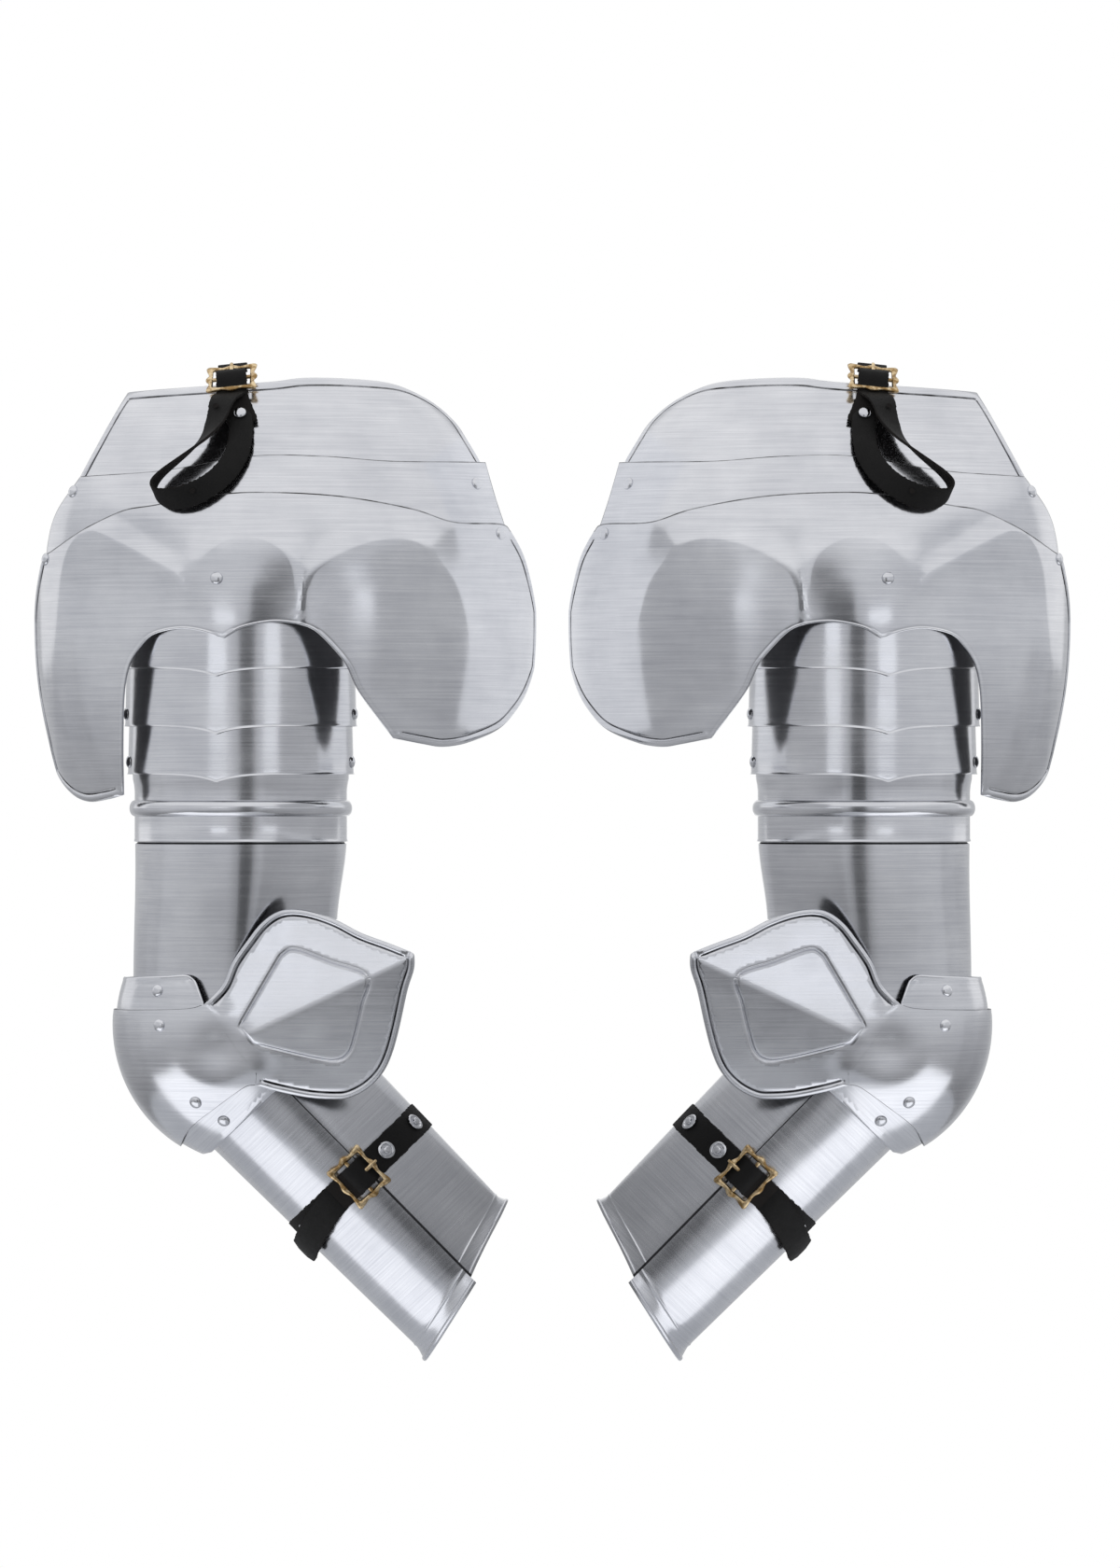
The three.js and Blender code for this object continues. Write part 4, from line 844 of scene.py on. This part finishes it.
WING_ROLL = (1.6, 4.2)
WING_RIMS = (0.3, 0.8, 1.6, 2.4, 3.2, 3.8, 4.2, 4.6, 5.4)
wing_loops = [(curve_through(elbow_places(places)), *WING_ROLL) for places in WING[:2]] + [(SEAM, 0, 1)]
ridge_line = resample(elbow_places([(-.02, -.045), (1.03, .445)]), 4)
wing_shell = cut_shell(wing, wing_loops, 2.2, PLATE, WING_RIMS, wing_relief, step=1.4, joined=(2,),
                       guides=[(panel_line, (-2.8, -1.8, -1.2, -0.6, 0, 0.6, 1.2, 2.2)),
                               (ridge_line, (-1.8, -0.7, 0, 0.7, 1.8))])


# %% Elbow lames and rivets
def elbow_spots(share, inset):
    x, z = share[0] * ELBOW_WIDE, share[1] * ELBOW_WIDE
    wide, deep = ELBOW_WIDE - inset + PLATE, ELBOW_DEEP - inset + PLATE
    y = deep * math.sqrt(1 - (x ** 2 + z ** 2) / wide ** 2)
    return [(np.array([ELBOW[0] + x, side * y, ELBOW[1] + z]),
             unit(np.array([x / wide ** 2, side * y / deep ** 2, z / wide ** 2]))) for side in (-1, 1)]


FORE_START = np.array([0, -440.4])
FORE_ALONG = np.array([math.sin(FORE_TILT), 0, -math.cos(FORE_TILT)])
FORE_ASIDE = np.array([math.cos(FORE_TILT), 0, math.sin(FORE_TILT)])


def fore_flat(pairs):
    p = np.asarray(pairs, float)
    return FORE_START + p[:, :1] * FORE_ALONG[[0, 2]] + p[:, 1:] * FORE_ASIDE[[0, 2]]


LAME_INSET, LAME_ROLL, LAME_RIMS = 2.2, (0.4, 2.4), (0.4, 1.2, 2.4)
UPPER_LAME = [[(-.949, .335), (-.874, .335), (-.6, .35), (-.476, .357), (-.425, .33), (-.404, .298), (-.352, .16)],
              [(-.352, .16), (-.36, .06)], [(-.36, .06), (-1.0, .02)]]
upper_loops = [(loop, *LAME_ROLL) for loop in round_elbow([elbow_places(s) for s in UPPER_LAME], LAME_INSET)]
upper_shell = cut_shell(elbow(LAME_INSET), upper_loops, 3.6, PLATE, LAME_RIMS)
LOWER_LAME = [[(9, -64), (9, 3)], [(9, 3), (21, 6), (34, 3)], [(34, 3), (34, -56)]]
lower_flat = [fore_flat(s) for s in LOWER_LAME]
# The first and last stretch are the edge hidden under the cop, which has no roll to catch on it
lower_loops = [(loop, LAME_ROLL[0] * (i not in (0, 5)), LAME_ROLL[1])
               for i, loop in enumerate(round_elbow(lower_flat, LAME_INSET))]
lower_shell = cut_shell(elbow(LAME_INSET), lower_loops, 3.6, PLATE, LAME_RIMS)
upper_heads = [rivet_at(s, under=3.7) for s in elbow_spots((-.678, .246), LAME_INSET)]
cop_heads = [rivet_at(s, under=3.7) for share in ((-.665, .004), (-.411, -.537)) for s in elbow_spots(share, 0)]
lower_heads = [rivet_at(s, under=8.5) for s in elbow_spots((-.215, -.667), LAME_INSET)]
on_both_arms("couter_upper_lame", pile(upper_shell, *upper_heads), "arm")
on_both_arms("couter", pile(cop_shell, wing_shell, *cop_heads), "arm")
on_both_arms("couter_lower_lame", pile(lower_shell, *lower_heads), "fore")

# %% [markdown]
# ## Forearm
# Two half tubes joined by hinges behind. The outer half laps over the inner one along the
# forearm, and both flare into a turned rim at the wrist. The halves are rolled from sheet, so
# their surface is nearly a plain cone.
# %% Forearm halves
FORE_RADII, FORE_MIDDLES, FORE_LONG = (56.8, 52.6), (2, 4.6), 210


def fore_radius(along):
    return mix(*FORE_RADII, along / FORE_LONG)


def fore_middle_at(along):
    return mix(*FORE_MIDDLES, along / FORE_LONG)


def fore_round(along, turn, inset):
    radius = fore_radius(along) - inset
    middle = fore_middle_at(along)
    deepen = 1 + 0.008 * (1 - smooth(along, 20, 110))
    aside = middle + radius * np.sin(turn)
    flat = FORE_START[:, None] + FORE_ALONG[[0, 2]][:, None] * along + FORE_ASIDE[[0, 2]][:, None] * aside
    return np.column_stack([flat[0], -radius * deepen * np.cos(turn), flat[1]])


def fore_half(start, end, slope, scoop, lapped):
    def surface(turn, up):
        angle, share = np.radians(turn), np.asarray(up, float) / 100
        lap = 2.6 * (1 - smooth(turn, 15, 60)) if lapped else 0
        top = start + scoop * smooth(np.sin(angle), 0, 1)
        along = mix(end - slope * FORE_RADII[0] * np.sin(angle), top, share)
        clear = smooth(turn, 6, 60) if lapped else 1
        from_cuff = share * (end - start)
        flare = 2.5 * clear * (1 - smooth(from_cuff, 0, 11))
        return fore_round(along, angle, lap - flare)
    return surface


def cuff_roll(long, crease, rise):
    """The rolled rim and the bead above it, and a long crease that stiffens the sheet."""
    def proud(turn, up):
        d = np.asarray(up, float) / 100 * long
        roll = 1.1 * np.sqrt(np.clip(1 - ((d - 1.6) / 1.6) ** 2, 0, None))
        ridge = rise * np.clip(1 - np.abs(turn - crease) / 15, 0, 1) * smooth(d, 14, 22)
        return roll + 0.45 * np.exp(-((d - 11.5) / 0.8) ** 2) + ridge
    return proud


def cuff_rows(long):
    near = np.array([0, 0.15, 0.5, 1, 1.6, 2.2, 2.7, 3.1, 3.4, 4.5, 6, 7.5, 9, 10, 10.7, 11.1, 11.5, 11.9,
                     12.3, 13, 15])
    return np.r_[near / long * 100, np.linspace(20 / long * 100, 100, 16)]


outer_turns = np.r_[np.linspace(-177, 2, 92), 3.5, 5, 5.7, 6]
inner_turns = np.r_[-4, -3.5, -2, 0, 2, 4, 6, 7, 8, 9, np.linspace(11, 177, 86)]
outer_half = grid_shell(fore_half(15, 214, .24, 0, False), outer_turns, cuff_rows(199), PLATE,
                        cuff_roll(199, -58, 0.7))
# Beside the outer half's edge, a strip of the inner half's outer face is painted with the dark inside steel as shade
inner_half = grid_shell(fore_half(34, 210, .35, 26, True), inner_turns, cuff_rows(176), PLATE,
                        cuff_roll(176, 50, 1.0), shaded=lambda turn, up: 4 < turn < 8.2 - 1.4 * up / 100)

# %% Hinges behind the forearm
HINGE_STATIONS = (70, 165)


def hinge_point(along):
    along = float(along)
    flat = FORE_START + FORE_ALONG[[0, 2]] * along + FORE_ASIDE[[0, 2]] * fore_middle_at(along)
    return np.array([flat[0], fore_radius(along) + 1.6, flat[1]])


HINGE_LINE = unit(hinge_point(210) - hinge_point(0))


def slab(point, along, across, out, long, wide, thick, round_by=0.5):
    """A plate with softened corners."""
    shape = []
    low, high = -thick / 2, thick / 2
    for h, pull in ((low, round_by), (low + round_by, 0), (high - round_by, 0), (high, round_by)):
        for sx, sy in ((-1, -1), (1, -1), (1, 1), (-1, 1)):
            shape.append(point + along * sy * (long / 2 - pull) + across * sx * (wide / 2 - pull) + out * h)
    faces = [[3, 2, 1, 0], [12, 13, 14, 15], *rings(4, 4)]
    return np.array(shape), faces, [0] * len(faces)


def hinge_parts(side):
    parts = []
    out = unit(np.cross(FORE_ASIDE, HINGE_LINE))
    for station in HINGE_STATIONS:
        for place in ((-10, 10) if side < 0 else (0,)):
            point = hinge_point(station) + HINGE_LINE * place
            ring = [(1.85, -4.85), (3.0, -4.85), (3.2, -4.6), (3.2, 4.6), (3.0, 4.85), (1.85, 4.85)]
            parts.append(turned(ring, point, HINGE_LINE))
            middle = point + FORE_ASIDE * side * 6.5 + np.array([0, -1.1, 0])
            parts.append(slab(middle, HINGE_LINE, FORE_ASIDE, out, 9.7, 9, 1.6))
            head = middle + out * 0.8 * np.sign(out[1]) + FORE_ASIDE * side * 1.5
            parts.append(turned(dome_head(1.5, 0.9), head, [0, 1, 0], 16))
    return parts


for i, name in enumerate(("upper", "lower")):
    pin = turned([(1.2, -15), (1.5, -14.7), (1.5, 14.7), (1.2, 15)], hinge_point(HINGE_STATIONS[i]), HINGE_LINE, 20)
    on_both_arms(f"vambrace_hinge_pin_{name}", pin, "bright", "vambrace_outer_body")
on_both_arms("vambrace_inner", pile(inner_half, *hinge_parts(1)), "fore")

# %% [markdown]
# ## Straps
# A strap is a strip of one thickness that follows a course, like a ribbon. The course is given
# as places with the direction of the strip's width. Cutting the corners of that course a few
# times makes the bends round, and never overshoots the way a spline can.
# %% A strip of leather along a course
THICK, STRAP_WIDE = 1.8, 19.0
# Spacing of the rows of points, and how rough the knife left the edge
STRAP_STEP, FRAY = 1.4, 0.25
noise = np.random.default_rng(11)


def rounded(values, rounds=3):
    p = np.asarray(values, float)
    for _ in range(rounds):
        cut = np.empty((2 * len(p) - 2, p.shape[1]))
        cut[0::2], cut[1::2] = mix(p[:-1], p[1:], 0.25), mix(p[:-1], p[1:], 0.75)
        p = np.vstack([p[:1], cut, p[-1:]])
    return p


def strap(stations, tips=(None, None), taper=((0, 1), (1, 1))):
    """stations: (point, width direction). tips: (length, end share of the width) of a pointed end.
    taper: shares of the width at lengths along the strip."""
    course = rounded([[*p, *w] for p, w in stations])
    run = np.r_[0, np.cumsum(np.linalg.norm(np.diff(course[:, :3], axis=0), axis=1))]
    keep = np.r_[True, np.diff(run) > 1e-6]
    course, run = course[keep], run[keep]
    at = np.linspace(0, run[-1], int(run[-1] / STRAP_STEP) + 1)
    course = np.column_stack([np.interp(at, run, course[:, k]) for k in range(6)])
    middle, width = course[:, :3], unit(course[:, 3:])
    ahead = unit(np.gradient(middle, axis=0))
    width = unit(width - ahead * np.sum(width * ahead, axis=1, keepdims=True))
    out = unit(np.cross(ahead, width))
    half = np.interp(at, *taper) * STRAP_WIDE / 2
    for end, tip in enumerate(tips):
        if tip:
            from_end = at if end == 0 else at[-1] - at
            half = np.minimum(half, STRAP_WIDE / 2 * mix(tip[1], 1, np.clip(from_end / tip[0], 0, 1)))
    section = [(-1, -.3), (-.97, -.08), (-.9, 0), (-.5, 0), (0, .03), (.5, 0), (.9, 0), (.97, -.08), (1, -.3),
               (1, -1.5), (.97, -1.72), (.9, -1.8), (.5, -1.8), (0, -1.8), (-.5, -1.8), (-.9, -1.8),
               (-.97, -1.72), (-1, -1.5)]
    rough = noise.normal(0, FRAY, (len(at), 2)).clip(-0.5, 0.5)
    points = []
    for across, height in section:
        wobble = rough[:, 0 if across < 0 else 1] * (abs(across) > 0.99)
        points.append(middle + width * (across * half + wobble)[:, None] + out * height * THICK / 1.8)
    n, m = len(section), len(at)
    points = np.stack(points, 1).reshape(-1, 3)
    faces = [[a, d, c, b] for a, b, c, d in rings(m, n)]
    kinds = [2 if i in (0, 7, 8, 9, 16, 17) else 1 if 9 < i < 16 else 0 for i in range(n)] * (m - 1)
    faces += [list(range(n)), [(m - 1) * n + i for i in reversed(range(n))]]
    return points, faces, kinds + [2, 2]


def leather(name, shell, body, nodes=None, bent=None):
    on_both_arms(name, shell, "leather", body, nodes, 60, bent)


# %% Buckles
BAR_HEIGHT, LOOP, BAR, FRAME_LIFT = 5.6, 3.3, 1.3, 0.2
OVER_LOOP = BAR_HEIGHT + LOOP + THICK + 2 * SEAT
UNDER_BAR = BAR_HEIGHT + FRAME_LIFT - BAR - SEAT
# Half widths of the frame and its window, how far a square's corners reach, the lobes' height and
# count, and how much longer the frame is along the bar
FRAME = dict(half=13.4, window=10.2, corner=1.36, wave=0.9, lobes=8, long=1.18)


def in_frame(points, basis, origin):
    return origin + np.asarray(points, float) @ np.array(basis)


def buckle(basis, origin):
    """A lobed square frame with a middle bar; x runs along the strap, y along the bar."""
    turn = np.linspace(0, 2 * math.pi, 121)[:-1]
    square = 1 / np.maximum(np.abs(np.cos(turn)), np.abs(np.sin(turn)))
    square = np.minimum(square, FRAME["corner"])
    wave = np.cos(FRAME["lobes"] * turn)
    outer = FRAME["half"] * square + FRAME["wave"] * wave
    inner = FRAME["window"] * square
    ring = np.linspace(0, 2 * math.pi, 17)[:-1]
    points = []
    for a in ring:
        reach = (outer + inner) / 2 + (outer - inner) / 2 * math.cos(a)
        high = FRAME_LIFT + (1.35 + 0.25 * wave) * math.sin(a)
        points.append(np.column_stack([reach * np.cos(turn), FRAME["long"] * reach * np.sin(turn), high]))
    faces = rings(len(ring), len(turn), True)
    bar = turned([(BAR, -12.6), (BAR, 12.6)], np.zeros(3), [0, 1, 0], 20)
    points, faces, kinds = pile((np.vstack(points), faces, [0] * len(faces)), bar)
    return in_frame(points, basis, origin), faces, kinds


def tongue(basis, origin):
    eye = [(1.75, -1.3), (2.7, -1.3), (3.0, -1.0), (3.0, 1.0), (2.7, 1.3), (1.75, 1.3)]
    eye = turned(eye, np.zeros(3), [0, 1, 0], 20)
    path = np.array([[0.5, 2.3], [4, 2.5], [8, 2.5], [12, 2.5], [14, 2.35], [15.3, 1.9], [15.7, 1.5]])
    wide = [1.2, 1.25, 1.25, 1.2, 1.1, 0.9, 0.5]
    ring = np.linspace(0, 2 * math.pi, 13)[:-1]
    points = np.vstack([[[x, w * math.cos(a), z + 0.75 * (w / 1.25) * math.sin(a)] for a in ring]
                        for (x, z), w in zip(path, wide)])
    faces = [f[::-1] for f in rings(len(path), 12)]
    faces += [list(range(12)), [(len(path) - 1) * 12 + i for i in reversed(range(12))]]
    points, faces, kinds = pile(eye, (points, faces, [0] * len(faces)))
    return in_frame(points, basis, origin), faces, kinds


# %% [markdown]
# ## Forearm strap
# The lead is held on the inner half by two studs with washers. It goes through the buckle on
# the outer half, over the bar, under the frame, and its pointed tail lies over the chape.
# %% Forearm strap, chape, buckle and studs
STRAP_AT = 111.0
WRAP = fore_radius(STRAP_AT)


def wrap(x, height, drift=0.0):
    point = fore_round(np.array([STRAP_AT + drift]), np.array([x / WRAP]), -height)[0]
    return point, -FORE_ALONG


fore_basis = [FORE_ASIDE, -FORE_ALONG, np.array([0, -1.0, 0])]
fore_middle = wrap(0, BAR_HEIGHT)[0]
CHAPE_TOP = THICK + 2 * SEAT
THREADED = [(13.9, UNDER_BAR), (9.8, UNDER_BAR), (3.6, OVER_LOOP)]
THREADED += [(-x, height) for x, height in THREADED[::-1]]
lead = [wrap(x, CHAPE_TOP) for x in (76, 66, 57, 46, 35, 24, 17)]
threaded = [wrap(x, h) for x, h in THREADED]
tail = [wrap(x, 8, 11 * float(smooth(-x, 13.6, 84))) for x in (-25, -40, -55, -70, -84)]
fore_strap = strap([*lead, *threaded, *tail][::-1], tips=((8, .45), None))
run = [wrap(x, CHAPE_TOP) for x in (-72, -65, -58, -50, -42, -30, -19)]
BEND = [(-9, 2.6), (-3, 2.6), (1.2, 2.5), (3.2, 4.2), (3.3, 6.4), (1.8, 8.6), (-1.2, 8.9), (-4.2, 7.2), (-8.5, 5.0),
        (-14, 4.6), (-19, 4.4)]
fore_chape = strap([*run, *[wrap(x, h) for x, h in BEND]])


def stud_spot(x, height):
    turn = x / WRAP
    normal = unit(FORE_ASIDE * math.sin(turn) + np.array([0, -math.cos(turn), 0]))
    return wrap(x, height)[0], normal


washer = [(0.5, 0.3), (5.4, 0.3), (5.7, 0.6), (5.6, 1.05), (5.0, 1.5), (4.3, 1.55), (3.8, 1.2), (3.5, 0.95),
          (2.7, 0.95), (2.5, 1.9), (2.2, 2.5), (1.6, 2.8), (0.8, 2.9), (0.1, 2.9)]
shank = [(3.4, -7.3), (3.4, -6.4), (1.7, -6.4), (1.7, 0.5)]
for i, x in enumerate((24, 57)):
    point, normal = stud_spot(x, CHAPE_TOP)
    stud = pile(turned(washer, point, normal, 36), turned(shank, point, normal))
    on_both_arms(f"vambrace_strap_washer_{i + 1}", stud, "bright", "vambrace_inner_body")
leather("vambrace_strap", fore_strap, "vambrace_inner_body")
leather("vambrace_chape", fore_chape, "vambrace_outer_body")
on_both_arms("vambrace_buckle_frame", buckle(fore_basis, fore_middle), "brass", "vambrace_outer_body")
on_both_arms("vambrace_buckle_tongue", tongue(fore_basis, fore_middle), "brass", "vambrace_tongue_body")
chape_heads = [rivet_at(stud_spot(x, CHAPE_TOP), 4.0, 2.2, base=0.2) for x in (-42, -58)]
on_both_arms("vambrace_outer", pile(outer_half, *hinge_parts(-1), *chape_heads), "fore")

# %% [markdown]
# ## Shoulder strap
# A short strap buckles at the rim of the top plate and hangs down in a twisted loop. The
# wearer's shoulder lace goes through that loop. Its other end is riveted with the chape.
# %% Shoulder strap, chape and buckle
rim_point, rim_normal = dome_spot(-3, -7.5, 2 * NEST)
up_slope = unit(np.cross(rim_normal, [1, 0, 0]))
bar_line = unit(np.cross(rim_normal, up_slope))


def at_rim(x, height):
    return rim_point + up_slope * x + rim_normal * height, -bar_line


def over_plate(inset, course):
    """course: (x, level, height, lean). The strip's width stands across the course, leaned by so
    many degrees out of the plate, so that the strip can turn on its edge."""
    spots = [dome_spot(x, level, inset) for x, level, _, _ in course]
    points = np.array([point + normal * c[2] for (point, normal), c in zip(spots, course)])
    stations = []
    for ahead, point, (_, normal), c in zip(np.gradient(points, axis=0), points, spots, course):
        lean = math.radians(c[3])
        stations.append((point, unit(np.cross(normal, ahead)) * math.cos(lean) + normal * math.sin(lean)))
    return stations


LOOP_COURSE = [(-8, -22, 9.5, 0), (-10.5, -33, 9.5, 15), (-16, -45, 11, 45), (-25, -54, 12.5, 62), (-35, -62, 13, 70),
               (-44, -69, 13, 75), (-49.5, -76, 13, 78), (-48, -83, 13, 72), (-40, -86, 13, 50), (-28, -84.5, 12, 30),
               (-15, -77.5, 11, 22), (-5, -68, 9, 18), (1, -58, 7.5, 12), (3.6, -48, 6, 5)]
ANCHOR_COURSE = [(3.8, -39, 5.2, 0), (3.4, -32, 4.7, 0), (3, -26, 4.6, 0)]
CHAPE_COURSE = [(5, -35, 2.4, 0), (3, -29, 2.4, 0), (-1, -20, 3.0, 0)]
shoulder_basis = [up_slope, bar_line, rim_normal]
shoulder_middle = rim_point + rim_normal * BAR_HEIGHT
course = [at_rim(x, h) for x, h in [(19.6, UNDER_BAR), *THREADED]]
course += over_plate(NEST, LOOP_COURSE) + over_plate(2 * NEST, ANCHOR_COURSE)
shoulder_strap = strap(course, tips=(None, (9, .35)), taper=((38, 60), (1, 0.8)))
chape_run = [(point, -width) for point, width in over_plate(2 * NEST, CHAPE_COURSE)]
shoulder_chape = strap([*chape_run, *[at_rim(x, h) for x, h in BEND[:-1]]])
leather("shoulder_strap", shoulder_strap, "shoulder_plates")
leather("shoulder_chape", shoulder_chape, "shoulder_plates")
on_both_arms("shoulder_buckle_frame", buckle(shoulder_basis, shoulder_middle), "brass", "shoulder_plates")
on_both_arms("shoulder_buckle_tongue", tongue(shoulder_basis, shoulder_middle), "brass", "shoulder_tongue_body")
for i, (x, level, height) in enumerate(((-11.6, -27.5, 10.4), (-24, -81, 13.6))):
    point, normal = dome_spot(x, level, NEST)
    points, faces, kinds = turned([(1.7, -0.5), (1.9, 0), (1.2, -0.1)], point + normal * height, normal, 16)
    leather(f"shoulder_strap_hole_{i + 1}", (points, faces, [1] * len(faces)), "shoulder_plates", [])
anchor = rivet_at(dome_spot(3, -29, 2 * NEST), 4.1, 2.2, under=1.2, base=5.5)
on_both_arms("shoulder_anchor_rivet", anchor, "bright", "shoulder_plates", [])


# %% Leather inside the lames
LEATHER_X, LEATHER_WIDE = -11.4, 26


def hanging(across, level):
    """Flat against the lames below, and against the main plate above."""
    x = LEATHER_X + np.asarray(across, float)
    level = np.asarray(level, float)
    plate_back = np.array([dome_spot(a, z, 0)[0][1] for a, z in zip(x, level)]) + PLATE + 3.0
    lame_back = -np.sqrt((LAME_RADII[2] - PLATE - 0.9) ** 2 - (x - ARM_X) ** 2)
    return np.column_stack([x, mix(lame_back, plate_back, smooth(level, -147.6, -139.2)), level])


def waist(across, level):
    return -0.25 * np.sin(np.asarray(level, float) / 4) * (np.abs(across) > LEATHER_WIDE / 2 - 0.6)


# It is one leather, made in three lengths that meet where it is riveted, each spanning one joint
LENGTHS = [("lame_leather", "main_plate_body", None, (-183, -122), ("upper_lame_1_body", -150, -168)),
           ("lame_leather_middle", "upper_lame_1_body", [], (-210, -183), ("upper_lame_2_body", -185, -204)),
           ("lame_leather_low", "upper_lame_2_body", [], (-231, -210), ("upper_lame_3_body", -212, -228))]
for name, body, nodes, (low, high), bent in LENGTHS:
    levels = np.linspace(low, high, int((high - low) / 2))
    inner_leather = grid_shell(hanging, np.linspace(-LEATHER_WIDE / 2, LEATHER_WIDE / 2, 15), levels, THICK, waist)
    leather(name, inner_leather, body, nodes, bent)

# %% [markdown]
# ## Studio
# Polished steel shows the room, so the room is part of the finish. The pale world is the
# white tent. Dark and light cards round the armour and between the two arms give the steel its
# bands, as a photographer's flags do. The cards are seen only in reflections.
# %% World and floor
world = bpy.data.worlds.new("White tent")
bpy.context.scene.world = world
world.use_nodes = True
tree = world.node_tree
tree.nodes.clear()
path = add(tree, "LightPath")
seen = add(tree, "Math", {0: path.outputs["Is Camera Ray"], 1: path.outputs["Is Glossy Ray"]}, operation="MAXIMUM")
seen = add(tree, "Math", {0: seen.outputs[0], 1: path.outputs["Is Transmission Ray"]}, operation="MAXIMUM")
lit = add(tree, "Background", Color=linear("#E6E9EE"), Strength=0.7)
white = add(tree, "Background", Color=(1, 1, 1, 1), Strength=1.0)
both = add(tree, "MixShader", {0: seen.outputs[0], 1: lit.outputs[0], 2: white.outputs[0]})
add(tree, "OutputWorld", {"Surface": both.outputs[0]})

paper, tree = new_material("Pale matt paper floor")
grain = add(tree, "TexNoise", Scale=400.0)
dents = add(tree, "Bump", {"Height": grain.outputs["Fac"]}, Strength=0.05, Distance=0.0005)
skin(tree, {"Normal": dents.outputs[0]}, Roughness=0.9, Base_Color=linear("#F2F2F2"))
MIDDLE = 0.2138
bpy.ops.mesh.primitive_circle_add(vertices=96, radius=0.85, fill_type="NGON", location=(MIDDLE, 0, -0.86))
floor = bpy.context.object
floor.name = "studio_floor"
floor.data.materials.append(paper)


# %% Cards and lamps
def card(name, points, tall, low, high, deep=0.0):
    """A card along places on the floor plan, seen only in reflections; deep leans its top back."""
    plan = np.asarray(points, float)
    rows = [np.column_stack([plan + [0, back], np.full(len(plan), z)]) for z, back in zip(tall, (0, deep))]
    mesh = bpy.data.meshes.new(name)
    n = len(plan)
    mesh.from_pydata([tuple(p) for p in np.vstack(rows)], [], [(i, i + 1, n + i + 1, n + i) for i in range(n - 1)])
    material, tree = new_material("Card " + name)
    height = add(tree, "SeparateXYZ", {"Vector": add(tree, "TexCoord").outputs["Generated"]})
    tone = add(tree, "MapRange", {"Value": height.outputs["Z"]}, To_Min=low, To_Max=high)
    glow = add(tree, "Emission", {"Strength": tone.outputs[0]}, Color=(0.97, 0.98, 1, 1))
    add(tree, "OutputMaterial", {"Surface": glow.outputs[0]})
    mesh.materials.append(material)
    obj = bpy.data.objects.new(name, mesh)
    bpy.context.scene.collection.objects.link(obj)
    for ray in ("camera", "diffuse", "shadow", "transmission", "volume_scatter"):
        setattr(obj, "visible_" + ray, False)


ROOM = 2.2


def round_room(first, last, places, radius=ROOM):
    """Places on the plan round the middle of the pair, in degrees from straight in front."""
    arc = np.radians(np.linspace(first, last, places))
    return np.column_stack([MIDDLE + radius * np.sin(arc), -radius * np.cos(arc)])


# Name, places on the plan, levels of the two edges, glow at each
front = round_room(-112, 112, 57)
CARDS = [("front_room_low", front, (-2.0, -0.05), 0.2, 0.8),
         ("front_room_high", front, (-0.05, 0.72), 0.68, 0.8),
         ("camera_gap", [(0, -1.6), (2 * MIDDLE, -1.6)], (-1.6, 0.25), 0.03, 0.2),
         ("left_of_gap", [(-0.22, -1.62), (0, -1.62)], (-1.6, 0.25), 0.2, 0.75),
         ("right_of_gap", [(2 * MIDDLE, -1.62), (2 * MIDDLE + 0.22, -1.62)], (-1.6, 0.25), 0.2, 0.75),
         ("between_the_arms", [(MIDDLE, -0.45), (MIDDLE, 0.12)], (-0.66, -0.27), 0.2, 0.52),
         ("before_the_shoulders", [(MIDDLE, -0.26), (MIDDLE, -0.04)], (-0.25, -0.075), 0.5, 0.6),
         ("between_the_shoulders", [(MIDDLE, -0.04), (MIDDLE, 0.16)], (-0.25, 0.02), 0.9, 1.0)]
for i, side in enumerate((-1, 1), 1):
    floor_line = [(MIDDLE + side * 0.2, -0.5), (MIDDLE + side * 1.0, -0.5)]
    CARDS += [(f"edge_card_{i}", round_room(140 * side, 172 * side, 9), (-2.0, 1.2), 0.55, 0.65),
              (f"wing_light_{i}", round_room(19 * side, 35 * side, 7, 2), (-0.11, 0.01), 1.7, 1.7),
              (f"floor_light_{i}", floor_line, (-0.85, -0.84), 1.45, 1.45, 0.5),
              (f"low_side_{i}", round_room(92 * side, 148 * side, 13), (-2.0, -0.29), 0.2, 0.6)]
for item in CARDS:
    card(*item)
print("cards", len(CARDS))


def soft_lamp(name, place, size, power):
    """A softbox turned to the middle of the armour. It lights, and isn't mirrored in the steel."""
    data = bpy.data.lights.new(name, "AREA")
    data.shape, data.size, data.size_y, data.energy = "RECTANGLE", size[0], size[1], power
    lamp = bpy.data.objects.new(name, data)
    lamp.location = place
    lamp.visible_glossy = False
    lamp.rotation_euler = (Vector((MIDDLE, 0, -0.3)) - Vector(place)).to_track_quat("-Z", "Y").to_euler()
    bpy.context.scene.collection.objects.link(lamp)


soft_lamp("overhead softbox", (MIDDLE, -0.9, 1.5), (1.8, 1.0), 1.6)
soft_lamp("left softbox", (-1.6, -1.6, 0.2), (0.8, 1.6), 5)
soft_lamp("right softbox", (2.0, -1.6, 0.2), (0.8, 1.6), 5)

# %% Camera
# The photograph was taken from the front at arm height, with a long lens.
FRAME_HIGH = 1.008
DISTANCE, SENSOR = 8.0, 24
data = bpy.data.cameras.new("long lens")
data.sensor_fit, data.sensor_height = "VERTICAL", SENSOR
data.lens = SENSOR * DISTANCE / FRAME_HIGH
data.clip_end = 50
camera = bpy.data.objects.new("long lens", data)
camera.location = (0.21374, -DISTANCE - 0.05, -0.26705)
camera.rotation_euler = (math.radians(90), 0, 0)
bpy.context.scene.collection.objects.link(camera)
bpy.context.scene.camera = camera
bpy.context.scene.view_settings.view_transform = "Standard"
